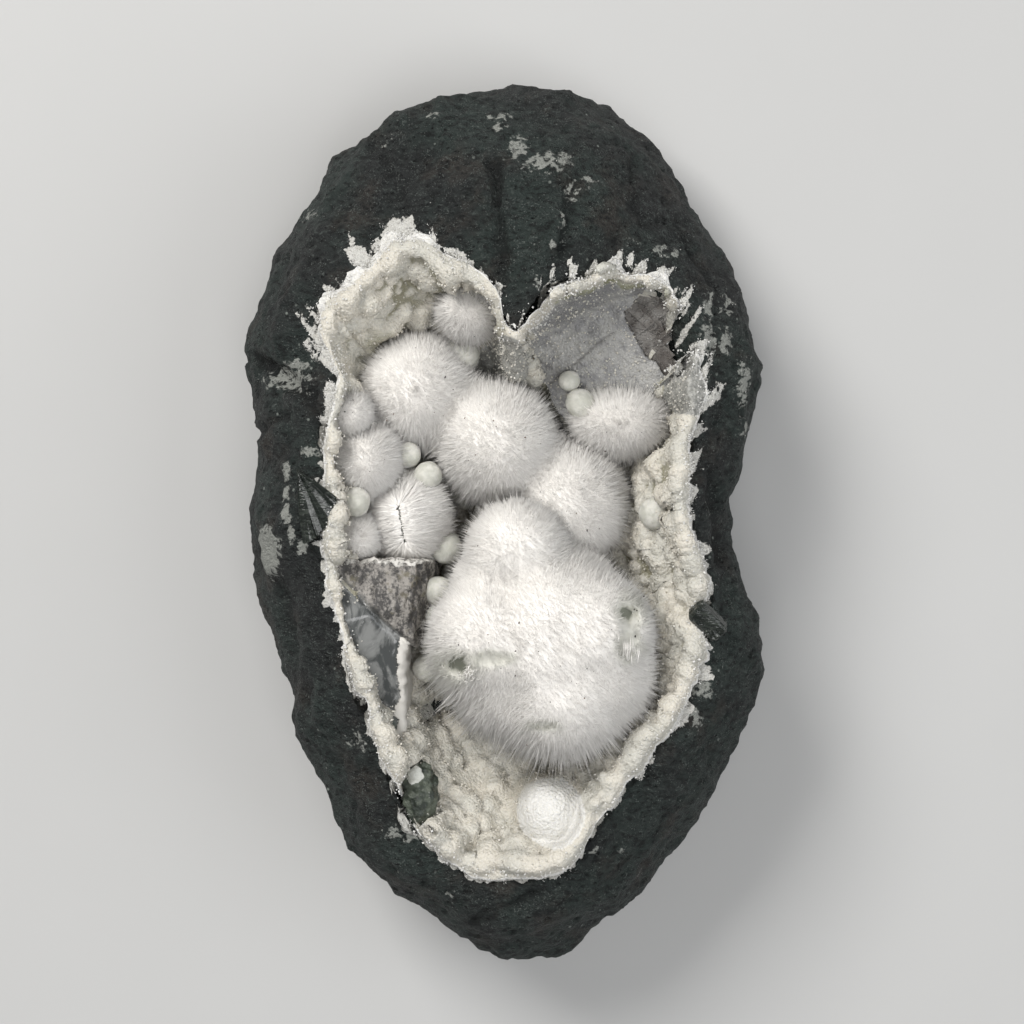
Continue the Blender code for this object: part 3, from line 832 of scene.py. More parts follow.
@dataclass(frozen=True)
class BlockFinish:
    """The broken grey crystal: rough and mottled above its crack, glassy and green-grey below it."""

    coarse: tuple[Colour, Colour] = ((0.050, 0.047, 0.045), (0.31, 0.29, 0.265))
    rusty: Colour = (0.14, 0.125, 0.08)
    glassy: tuple[Colour, Colour] = ((0.065, 0.07, 0.07), (0.25, 0.255, 0.25))
    milky: Colour = (0.42, 0.42, 0.41)
    teal: Colour = (0.045, 0.085, 0.065)
    white: Colour = (0.66, 0.64, 0.60)

    def made(self) -> Material:
        """Builds the material."""
        shader = Shader("grey_crystal_block", IOR=1.58)
        rough = shader.mark("rough")
        lumps = shader.noise(1.5, 5.0, shader.turned((1.0, 0.42, 1.0), 12.0))
        mottle = lumps * 0.6 + shader.noise(0.5, 4.0) * 0.4
        coarse = shader.mix(mottle.step(0.43, 0.58), *self.coarse)
        coarse = shader.mix(shader.noise(2.6, 4.0).step(0.55, 0.68) * 0.8, coarse, self.rusty)
        swirl = shader.noise(3.4, 5.0, shader.turned((1.0, 0.4, 1.0), -12.0), Distortion=1.2)
        glassy = shader.mix(swirl.step(0.40, 0.60), *self.glassy)
        glassy = shader.mix(shader.noise(1.2, 4.0).step(0.62, 0.74) * 0.6, glassy, self.milky)
        glassy = shader.mix(shader.mark("teal"), glassy, self.teal)
        colour = shader.mix(rough, glassy, coarse)
        crust = shader.ragged("white", 0.8, 1.2).step(0.40, 0.62)
        colour = shader.mix(crust, colour, self.white)
        roughness = 0.14 + 0.5 * rough.top(crust)
        height = lumps * rough + swirl * 0.2 + crust * 0.4
        return shader.finish(colour, roughness, shader.bump(height, 0.5))


@dataclass(frozen=True)
class DarkFinish:
    """Green-black crystal, glossy, with pale chips."""

    black: Colour = (0.008, 0.011, 0.009)
    green: Colour = (0.040, 0.047, 0.040)
    chip: Colour = (0.24, 0.25, 0.22)

    def made(self, name: str, streak_deg: float) -> Material:
        """Builds the material.

        Args:
            name: Its name.
            streak_deg: The bearing along which its growth lines run.

        Returns:
            The material.
        """
        shader = Shader(name, IOR=1.6)
        lines = shader.noise(0.5, 3.0, shader.turned((0.2, 1.0, 1.0), streak_deg))
        colour = shader.mix(lines.step(0.40, 0.70), self.black, self.green)
        chips = shader.noise(1.1, 4.0).step(0.64, 0.72)
        colour = shader.mix(chips * 0.6, colour, self.chip)
        return shader.finish(colour, 0.14 + 0.4 * chips, shader.bump(lines + chips * 0.4, 0.12))


@dataclass(frozen=True)
class NoduleFinish:
    """A dark green lump with black spots painted as the shade of hollows, and a net of white veins."""

    dark: Colour = (0.022, 0.030, 0.023)
    green: Colour = (0.085, 0.10, 0.075)
    black: Colour = (0.012, 0.016, 0.012)
    white: Colour = (0.56, 0.57, 0.53)

    def made(self) -> Material:
        """Builds the material."""
        shader = Shader("green_nodule", IOR=1.52)
        colour = shader.mix(shader.noise(2.2, 5.0).step(0.38, 0.62), self.dark, self.green)
        # Painted shade: black spots that stand for shaded hollows
        colour = shader.mix(shader.cells(1.6).step(0.30, 0.12) * 0.8, colour, self.black)
        veins = shader.noise(0.8, 4.0).step(0.60, 0.70) * shader.noise(2.0, 3.0).step(0.46, 0.60)
        crust = shader.ragged("white", 0.8, 1.1).step(0.42, 0.60).top(veins * 0.8)
        colour = shader.mix(crust, colour, self.white)
        return shader.finish(colour, 0.32 + 0.4 * crust, shader.bump(shader.noise(0.5, 4.0), 0.3))


@dataclass(frozen=True)
class DustFinish:
    """Specks of brown-black dust."""

    black: Colour = (0.02, 0.017, 0.014)
    brown: Colour = (0.10, 0.05, 0.02)

    def made(self) -> Material:
        """Builds the material."""
        shader = Shader("dust")
        return shader.finish(shader.mix(shader.noise(9.0, 1.0).step(0.45, 0.6), self.black, self.brown), 0.8)


@dataclass
class Rock:
    """The basalt rock: an even mesh of the CAD solid, broken up by flakes, ridges, grooves and pits."""

    face_mm: float = 0.82
    rounding: int = 3
    # How wide and how high its swells are
    swells: tuple[Pair, ...] = ((15.0, 1.0), (6.0, 0.50), (2.6, 0.22))
    # How many flakes were broken off at each scale, how wide they are and how deep
    flakes: tuple[tuple[int, float, float], ...] = ((260, 9.0, 0.8), (700, 5.2, 0.42), (9000, 1.4, 0.34))
    grit: Pair = (1.5, 0.16)
    pit_count: int = 1300
    pit_radius_mm: Pair = (0.45, 1.15)
    foot_mm: float = 0.35
    past_box_mm: float = 0.7
    # Above this height the rock is grooved and smeared as in the photo
    upper_mm: float = 15.0
    # Grooves in the rock: where each starts and ends from above, its width and its depth
    grooves: tuple[tuple[float, float, float, float, float, float], ...] = (
        (-0.9, 58.5, -0.4, 52.0, 1.5, 1.9), (-0.4, 52.0, 0.1, 38.5, 1.2, 1.3),
        (12.0, 56.0, 10.5, 43.0, 1.3, 0.9), (-43.0, 27.5, -30.5, 20.5, 1.9, 2.0),
        (-31.0, 21.0, -28.5, 13.0, 1.5, 1.5), (-41.0, 14.8, -35.5, 17.5, 1.4, 1.2),
        (35.0, 8.0, 37.0, -6.0, 1.8, 1.3), (-37.5, -10.0, -33.0, -30.0, 1.3, 0.8),
        (30.0, 50.0, 35.5, 40.0, 1.3, 0.9), (-20.0, 62.0, -14.0, 48.0, 1.2, 0.7),
        (22.0, 60.0, 24.0, 50.0, 1.2, 0.7), (-4.0, -66.0, 6.0, -62.0, 1.4, 0.8),
    )
    # White smears on the rock: place from above, radii, and how thick each is
    smears: tuple[tuple[float, float, float, float, float], ...] = (
        (0.1, 67.8, 2.6, 1.2, 0.7), (-0.2, 65.7, 1.8, 1.2, 0.7), (3.1, 61.6, 1.8, 2.6, 0.85),
        (7.3, 59.0, 3.4, 1.8, 0.9), (10.3, 59.8, 2.2, 1.2, 0.8), (14.5, 55.9, 1.6, 1.3, 0.75),
        (12.1, 54.1, 1.4, 2.1, 0.75), (-11.0, 68.4, 1.6, 0.8, 0.6), (-19.6, 64.5, 1.5, 1.1, 0.6),
        (-31.5, 51.5, 2.4, 1.8, 0.55), (22.0, 46.2, 1.3, 1.2, 0.7), (10.2, 49.1, 1.0, 1.4, 0.7),
        (8.8, 45.2, 1.4, 1.1, 0.7), (5.5, 38.8, 1.9, 0.9, 0.8), (-35.5, 23.5, 5.0, 2.4, 0.8),
        (-33.5, 25.8, 3.4, 1.4, 0.75), (-38.2, -5.0, 2.4, 3.8, 1.6), (40.5, 22.5, 1.6, 4.8, 0.85),
        (34.6, 30.2, 2.0, 3.0, 0.9), (37.3, 29.8, 1.4, 2.8, 0.85), (35.0, 36.2, 1.4, 2.2, 0.85),
        (26.4, 44.8, 1.5, 1.5, 0.8), (29.0, 44.5, 1.3, 1.3, 0.8), (38.2, 36.0, 1.3, 2.2, 0.7),
        (41.0, 15.5, 1.1, 1.8, 0.7), (34.9, 1.3, 1.0, 1.7, 0.7), (-23.4, -36.2, 2.2, 1.7, 0.7),
        (-17.8, -51.6, 1.8, 1.6, 0.8), (-15.2, -52.6, 1.7, 1.3, 0.75), (-7.8, -61.6, 1.1, 1.1, 0.65),
        (-34.8, 7.8, 0.9, 2.2, 0.95), (-35.2, 4.6, 0.8, 2.2, 0.95), (-34.6, 1.2, 0.8, 2.2, 0.95),
        (-33.6, -2.0, 0.8, 2.2, 0.95), (-32.4, -4.4, 0.9, 1.8, 0.95), (-30.6, 11.4, 2.4, 0.9, 0.9),
        (33.2, -27.8, 2.0, 2.2, 0.85), (32.0, -32.0, 1.0, 2.6, 0.8), (15.4, -54.5, 1.1, 1.1, 0.7),
        (19.8, -54.5, 0.9, 0.9, 0.65), (23.6, -59.4, 0.8, 0.8, 0.65),
    )

    def build(self, mouth: Mouth) -> Object:
        """Makes the rock.

        Args:
            mouth: The hollow's mouth, around which the white crust lies on the rock.

        Returns:
            The piece.
        """
        mesh = remeshed(to_mesh(node_copy("basalt_matrix")), self.face_mm, self.rounding)
        points, normals = surface(mesh)
        beyond = mouth.beyond(points)
        dice = np.random.default_rng(3)
        lift = sum(size * layered_noise(points, span, 2, 3) for span, size in self.swells)
        for count, width, depth in self.flakes:
            away = self.nearest(points, count, dice)[0] / width + 0.22 * layered_noise(points, width, 2, 9)
            lift += depth * (np.minimum(np.abs(away), 1.0) ** 2 - 0.55)
        lift += self.grit[1] * lattice_noise(points, self.grit[0], 40)
        distance, radii = self.nearest(points, self.pit_count, dice)
        lift -= 0.75 * np.maximum(0.0, radii - distance)
        groove = self.groove_depth(points)
        smear = self.smear(points)
        lift += 0.22 * smooth_step(smear, 0.3, 0.8) - groove
        shown = smooth_step(beyond, -3.0, 0.8)
        points += normals * (lift * (0.2 + 0.8 * shown))[:, None]
        foot = points[:, 2] < self.foot_mm
        points[foot, 2] = 0.0
        low, high = (corner[:2] for corner in corners_mm("basalt_matrix"))
        points[:, :2] = np.clip(points[:, :2], low - self.past_box_mm, high + self.past_box_mm)
        move_points(mesh, points)
        mark(mesh, "white", mouth.crust_share(points, beyond))
        mark(mesh, "smear", smear)
        # The dark mark: painted shade in the grooves
        mark(mesh, "dark", np.clip(0.55 * groove, 0.0, 0.85))
        mark_place(mesh, "around", mouth.around(points, beyond))
        return add_piece("basalt_rock", mesh, BasaltFinish().made(), ("basalt_matrix",))

    def nearest(self, points: Array, count: int, dice: Dice) -> tuple[Array, Array]:
        """Scatters spots on the rock.

        Args:
            points: The rock's points.
            count: How many spots there are.
            dice: Picks them.

        Returns:
            For each point how far the nearest spot is, and a random radius of that spot.
        """
        radii = dice.uniform(*self.pit_radius_mm, count)
        finder = finder_of(points[dice.choice(len(points), count, replace=False)])
        found = [finder.find(Vector(point))[1:] for point in points]
        numbers, distances = (np.array(column) for column in zip(*found))
        return distances, radii[numbers]

    def groove_depth(self, points: Array) -> Array:
        """How deep the grooves are at each point."""
        depth = np.zeros(len(points))
        for *ends, width, deep in self.grooves:
            away = np.linalg.norm(from_line(points, ends[:2], ends[2:])[0], axis=1)
            away += 0.6 * layered_noise(points, 3.0, 2, 61)
            depth = np.maximum(depth, deep * smooth_step(away, width, 0.15))
        return depth * (points[:, 2] > self.upper_mm)

    def smear(self, points: Array) -> Array:
        """How thick the white smears are at each point: from 0 to 1, and more where one is solid."""
        found = np.zeros(len(points))
        for x, y, wide, tall, thick in self.smears:
            away = np.hypot((points[:, 0] - x) / wide, (points[:, 1] - y) / tall)
            found = np.maximum(found, thick * (1.2 - 0.75 * away))
        return np.clip(found, 0.0, 1.8) * (points[:, 2] > self.upper_mm - 1.0)


@dataclass
class Mouth:
    """The hollow's mouth, read from the CAD lining: how far out it is at each bearing."""

    steps: int = 480
    farthest_mm: float = 72.0
    march_mm: float = 0.25
    rough_mm: float = 0.95
    # From this far on, how far outside the mouth a place is need not be exact
    far_mm: float = 12.0
    crust_above_mm: float = 18.0
    # How far the white crust spreads over the rock, by bearing in degrees
    crust_mm: tuple[Pair, ...] = (
        (-170, 1.0), (-140, 0.7), (-110, 0.5), (-90, 0.5), (-60, 0.6), (-35, 1.5), (-20, 1.1), (10, 0.9),
        (25, 1.5), (40, 1.9), (52, 2.6), (66, 3.0), (80, 2.6), (88, 1.3), (96, 0.8), (104, 3.4), (112, 4.2),
        (120, 3.0), (130, 3.2), (142, 1.6), (155, 0.9), (168, 0.9),
    )
    centre: Array = field(init=False)
    bearings: Array = field(init=False)
    reach: Array = field(init=False)
    finder: kdtree.KDTree = field(init=False)

    def __post_init__(self) -> None:
        """Marches in from outside at each bearing until the CAD lining is below."""
        low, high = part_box("druse_crust")
        self.centre = np.array(((low.x + high.x) / 2.0, (low.y + high.y) / 2.0)) / MM
        self.bearings = np.linspace(-math.pi, math.pi, self.steps, endpoint=False)
        lining = node_tree("druse_crust", "calcite_upper")
        down = Vector((0.0, 0.0, -1.0))
        self.reach = np.empty(self.steps)
        for number, bearing in enumerate(self.bearings):
            out = np.array((math.cos(bearing), math.sin(bearing)))
            far = self.farthest_mm
            while lining.ray_cast(Vector((*(self.centre + far * out), OVERHEAD_MM)), down)[0] is None:
                far -= self.march_mm
            self.reach[number] = far
        ways = np.stack([np.cos(self.bearings), np.sin(self.bearings), np.zeros(self.steps)], axis=1)
        self.reach = self.reach + self.rough_mm * layered_noise(self.reach[:, None] * ways, 4.0, 3, 50)
        rim = self.centre + self.reach[:, None] * ways[:, :2]
        self.finder = finder_of(np.pad(rim, ((0, 0), (0, 1))))

    def polar(self, points: Array) -> tuple[Array, Array]:
        """The bearing of each point from the mouth's middle, and its distance."""
        away = points[..., :2] - self.centre
        return np.arctan2(away[..., 1], away[..., 0]), np.hypot(away[..., 0], away[..., 1])

    def edge(self, bearing: Array) -> Array:
        """How far out the mouth is at each bearing."""
        return np.interp(bearing, self.bearings, self.reach, period=math.tau)

    def beyond(self, points: Array) -> Array:
        """How far each point is outside the mouth, seen from above. It is negative inside."""
        bearing, distance = self.polar(points)
        rough = distance - self.edge(bearing)
        for number in np.flatnonzero(np.abs(rough) < self.far_mm):
            exact = self.finder.find(Vector((points[number, 0], points[number, 1], 0.0)))[2]
            rough[number] = math.copysign(exact, rough[number])
        return rough

    def around(self, points: Array, beyond: Array) -> Array:
        """Places that run along the mouth and, about half as fast, away from it."""
        bearing = self.polar(points)[0]
        reach = self.edge(bearing)
        return np.stack([np.cos(bearing) * reach, np.sin(bearing) * reach, 0.45 * beyond], axis=1)

    def crust_share(self, points: Array, beyond: Array) -> Array:
        """How much white crust there is around the mouth.

        Args:
            points: Places, one a row.
            beyond: How far each is outside the mouth.

        Returns:
            A share for each place: more than 0.4 in the crust's fingers.
        """
        fingers = layered_noise(self.around(points, beyond), 1.4, 3, 60)
        share = 0.64 - 0.60 * np.maximum(beyond, 0.0) / self.crust_width(points) + 0.85 * fingers
        return np.where(points[:, 2] > self.crust_above_mm, np.clip(share, -1.0, 1.0), -1.0)

    def crust_width(self, points: Array) -> Array:
        """How far the white crust spreads over the rock beside each point."""
        bearing = self.polar(points)[0]
        known = np.radians([pair[0] for pair in self.crust_mm])
        return np.interp(bearing, known, [pair[1] for pair in self.crust_mm], period=math.tau)


@dataclass
class Lining:
    """The quartz lining: a bowl of rounded lumps with a ragged lip that laps over the rock."""

    rings: int = 104
    lip_rings: int = 5
    under_rings: int = 5
    lining_mm: float = 2.4
    edge_mm: float = 0.3
    bed_mm: float = 0.9
    knob_count: int = 2600
    knob_radius_mm: Pair = (0.75, 2.6)
    lip_mm: float = 0.32
    clear_mm: float = 0.7
    dome_mm: Triple = (8.4, -48.4, 6.4)
    carriers: tuple[str, ...] = ("basalt_matrix", "druse_crust", "calcite_upper")
    olive_places: tuple[Triple, ...] = (
        (-3.5, 30.0, 10.0), (-20.0, 29.0, 6.0), (21.0, 8.5, 4.0), (-8.0, 8.0, 9.0),
    )
    grey_places: tuple[Triple, ...] = ((31.5, 21.5, 5.0), (31.0, 27.0, 3.0), (0.0, 25.5, 5.6))
    # How far knobs of three sizes rise between the round ones
    swells: tuple[Pair, ...] = ((3.4, 0.35), (1.5, 0.24), (0.8, 0.14))
    # A dark hole in the floor: its place from above, its radius and its depth
    hole_mm: tuple[float, float, float, float] = (-11.7, -32.0, 3.4, 6.0)
    tree: BVHTree | None = None

    def build(self, mouth: Mouth, rock: Object, coat: Coat) -> Object:
        """Makes the lining.

        Args:
            mouth: The hollow's mouth.
            rock: The rock that it lies in.
            coat: The slab over the calcite, which the lining passes under.

        Returns:
            The piece.
        """
        wall = node_tree("basalt_matrix")
        ways = np.stack([np.cos(mouth.bearings), np.sin(mouth.bearings)], axis=1)
        places = mouth.centre + self.ring_shares()[:, None, None] * mouth.reach[None, :, None] * ways[None]
        inward = -mouth.beyond(places.reshape(-1, 2)).reshape(places.shape[:2])
        hidden = coat.covers(places, -coat.ease_mm) & (inward > coat.border_mm)
        level, sunk = self.bowl(places, wall, np.where(hidden, coat.underside(places), np.nan))
        grid = np.concatenate([places, level[..., None]], axis=2)
        rise = self.knobs(grid)
        rise *= (0.15 + 0.85 * smooth_step(inward, 0.0, 2.4)) * (1.0 - 0.92 * self.chalk(grid))
        rise *= (1.0 - 0.8 * self.grey(grid)) * ~hidden * ~sunk
        x, y, radius, deep = self.hole_mm
        grid[..., 2] -= deep * smooth_step(np.hypot(grid[..., 0] - x, grid[..., 1] - y), radius, radius * 0.4)
        spots = grid.reshape(-1, 3)
        grain = 0.12 * layered_noise(spots, 1.1, 2, 7).reshape(rise.shape) * ~hidden
        grid = grid + (rise + grain)[..., None] * self.normals(grid)
        # Painted shade in the crevices between the knobs, less of it on the front floor
        crevice_shade = smooth_step(rise, 0.75, 0.1) * smooth_step(inward, 1.0, 4.0) * (1.0 - self.chalk(grid))
        crevice_shade *= 1.0 - 0.55 * smooth_step(grid[..., 1], -28.0, -34.0)
        grid = np.concatenate([grid, crevice_shade[..., None]], axis=2)
        lip, under = self.lip(mouth, rock, grid), self.underside(mouth, wall, ways)
        rings = np.concatenate([grid, np.pad(np.concatenate([lip, under]), ((0, 0), (0, 0), (0, 1)))])
        mesh, crevice_shade = self.closed_mesh(rings)
        points = mesh_points(mesh)
        beyond = mouth.beyond(points)
        mark(mesh, "edge", np.maximum(smooth_step(beyond, -0.9, 0.3), self.chalk(points)))
        mark(mesh, "grey", self.grey(points))
        # Olive stains, with painted shade in the deep places and crevices
        mark(mesh, "stain_and_shade", np.maximum(self.stain_and_shade(points), 0.80 * crevice_shade))
        self.tree = tree_of(mesh)
        finish = DruseFinish().made("sugary_quartz")
        return add_piece("quartz_lining", mesh, finish, ("druse_crust",))

    def bowl(self, places: Array, wall: BVHTree, given: Array) -> tuple[Array, Array]:
        """The bowl's smooth shape, before its knobs.

        Args:
            places: The grid's places from above, by ring and by bearing.
            wall: The wall of the hollow in the rock.
            given: Heights that it has to keep, not a number where it is free.

        Returns:
            Its heights, and whether each place was lowered for a piece that is bedded in it.
        """
        flat, shape = places.reshape(-1, 2), places.shape[:2]
        thinner = (self.lining_mm - self.edge_mm) * smooth_step(self.ring_shares(), 0.86, 1.0)
        floor = heights(wall, flat) + np.repeat(self.lining_mm - thinner, shape[1])
        level = np.fmax(heights(node_tree("druse_crust"), flat), floor).reshape(shape)
        level = np.where(np.isnan(level), np.nanmean(level), level)
        for _ in range(4):
            level = self.blurred(level)
        level = np.where(np.isnan(given), level, given)
        bedded = node_tree(*(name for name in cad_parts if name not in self.carriers))
        clear = np.nan_to_num(heights(bedded, flat), nan=OVERHEAD_MM).reshape(shape) - self.clear_mm
        return self.blurred(np.minimum(level, clear)), clear < level

    def ring_shares(self) -> Array:
        """Shares of the way out that are evenly spaced along the bowl's curve."""
        share = np.linspace(0.0, 1.0, 400)
        drop = 0.8 * share**3.2
        along = np.concatenate([[0.0], np.cumsum(np.hypot(np.diff(share), np.diff(drop)))])
        return np.interp(np.linspace(0.012, 1.0, self.rings), along / along[-1], share)

    @staticmethod
    def blurred(level: Array) -> Array:
        """The heights, each averaged with its neighbours. The rim stays."""
        beside = np.roll(level, 1, axis=1) + np.roll(level, -1, axis=1)
        inner = np.concatenate([level[:1], level[:-1]], axis=0)
        outer = np.concatenate([level[1:], level[-1:]], axis=0)
        mixed = (level * 2.0 + beside + inner + outer) / 6.0
        mixed[-1] = level[-1]
        return mixed

    @staticmethod
    def normals(grid: Array) -> Array:
        """The upward normal at each place of the grid."""
        around = np.roll(grid, -1, axis=1) - np.roll(grid, 1, axis=1)
        out = np.gradient(grid, axis=0)
        facing = unit(np.cross(out, around))
        return np.where(facing[..., 2:] < 0.0, -facing, facing)

    def knobs(self, grid: Array) -> Array:
        """Strews rounded knobs over the bowl.

        Args:
            grid: The bowl's places, by ring and by bearing.

        Returns:
            How far each place is raised.
        """
        dice = np.random.default_rng(8)
        points = grid.reshape(-1, 3)
        weights = np.repeat(np.linspace(0.15, 1.0, len(grid)), grid.shape[1])
        picks = dice.choice(len(points), self.knob_count, replace=False, p=weights / weights.sum())
        radii = self.knob_radius_mm[0] + np.ptp(self.knob_radius_mm) * dice.random(self.knob_count) ** 1.8
        rise = np.zeros(len(points))
        finder = finder_of(points)
        for pick, radius in zip(picks, radii):
            for _, number, distance in finder.find_range(Vector(points[pick]), radius):
                rise[number] = max(rise[number], math.sqrt(radius**2 - distance**2) - 0.12 * radius)
        for seed, (span, size) in enumerate(self.swells, start=4):
            rise += size * lattice_noise(points, span, seed)
        return rise.reshape(grid.shape[:2])

    def lip(self, mouth: Mouth, rock: Object, grid: Array) -> Array:
        """The thin ragged lip that laps over the rock around the mouth.

        Args:
            mouth: The hollow's mouth.
            rock: The rock that it lies on.
            grid: The bowl's places, whose last ring the lip goes on from.

        Returns:
            Its places, by ring and by bearing.
        """
        around = tree_of(rock.data)
        rim = grid[-1, :, :3]
        way = unit(rim[:, :2] - mouth.centre)
        flat = np.concatenate([rim[:, :2], np.zeros((len(rim), 1))], axis=1)
        width = mouth.crust_width(rim) * np.clip(0.20 + 0.60 * layered_noise(flat, 2.2, 3, 70), 0.05, 0.9)
        rings = []
        for step in range(1, self.lip_rings + 1):
            share = step / self.lip_rings
            place = rim[:, :2] + way * (width * share)[:, None]
            ground = heights(around, place)
            ground = np.where(np.isnan(ground), rim[:, 2], ground)
            thick = self.lip_mm * (1.0 - share**2) - (0.5 if step == self.lip_rings else 0.0)
            level = ground + thick
            if share < 0.3:
                level = np.maximum(level, rim[:, 2] * 0.5 + ground * 0.5)
            rings.append(np.column_stack([place, level]))
        return np.stack(rings)

    def underside(self, mouth: Mouth, wall: BVHTree, ways: Array) -> Array:
        """The underside, set a little into the rock.

        Args:
            mouth: The hollow's mouth.
            wall: The wall of the hollow in the rock.
            ways: The way out at each bearing.

        Returns:
            Its places, by ring and by bearing.
        """
        rings = []
        for share in np.linspace(0.985, 0.05, self.under_rings):
            place = mouth.centre + share * mouth.reach[:, None] * ways
            ground = heights(wall, place)
            ground = np.where(np.isnan(ground), np.nanmin(ground), ground)
            rings.append(np.column_stack([place, ground - self.bed_mm]))
        return np.stack(rings)

    @staticmethod
    def closed_mesh(rings: Array) -> tuple[Mesh, Array]:
        """A closed mesh through rings of places, from the middle above to the middle below.

        Args:
            rings: Places, each with one more number, by ring and by bearing.

        Returns:
            The mesh, in metres, and the number of each of its points.
        """
        count, around = rings.shape[:2]
        bm = bmesh.new()
        bmesh.ops.create_uvsphere(bm, u_segments=around, v_segments=count + 1, radius=1.0)
        mesh = to_mesh(bm)
        ball = mesh_points(mesh) * MM
        ring = np.rint(np.arccos(np.clip(ball[:, 2], -1.0, 1.0)) / math.pi * (count + 1)).astype(int) - 1
        bearing = np.arctan2(ball[:, 1], ball[:, 0]) + math.pi
        turn = np.rint(bearing / math.tau * around).astype(int) % around
        points = rings[np.clip(ring, 0, count - 1), turn]
        points[ring < 0] = rings[0].mean(axis=0)
        points[ring >= count] = rings[-1].mean(axis=0)
        move_points(mesh, points[:, :3])
        return mesh, points[:, 3]

    def chalk(self, points: Array) -> Array:
        """How chalky each point is, from 0 to 1: the dome in the lowest part of the hollow."""
        x, y, radius = self.dome_mm
        return smooth_step(np.hypot(points[..., 0] - x, points[..., 1] - y), radius, radius * 0.75)

    def grey(self, points: Array) -> Array:
        """How far each point belongs to a flat grey crystal face, from 0 to 1."""
        found = np.zeros(points.shape[:-1])
        for x, y, reach in self.grey_places:
            away = np.hypot(points[..., 0] - x, points[..., 1] - y) / reach
            found = np.maximum(found, smooth_step(away, 1.0, 0.7))
        return found

    def stain_and_shade(self, points: Array) -> Array:
        """How olive each point is, from 0 to 1: painted shade in the deep places, and a few real olive
        stains.
        """
        # Painted shade: more olive low in the hollow, but not on its front floor
        found = 0.55 * smooth_step(points[:, 2], 27.0, 14.0) * smooth_step(points[:, 1], -38.0, -28.0)
        for x, y, reach in self.olive_places:
            away = np.hypot(points[:, 0] - x, points[:, 1] - y) / reach
            found = np.maximum(found, 0.62 * smooth_step(away, 1.0, 0.2))
        return found


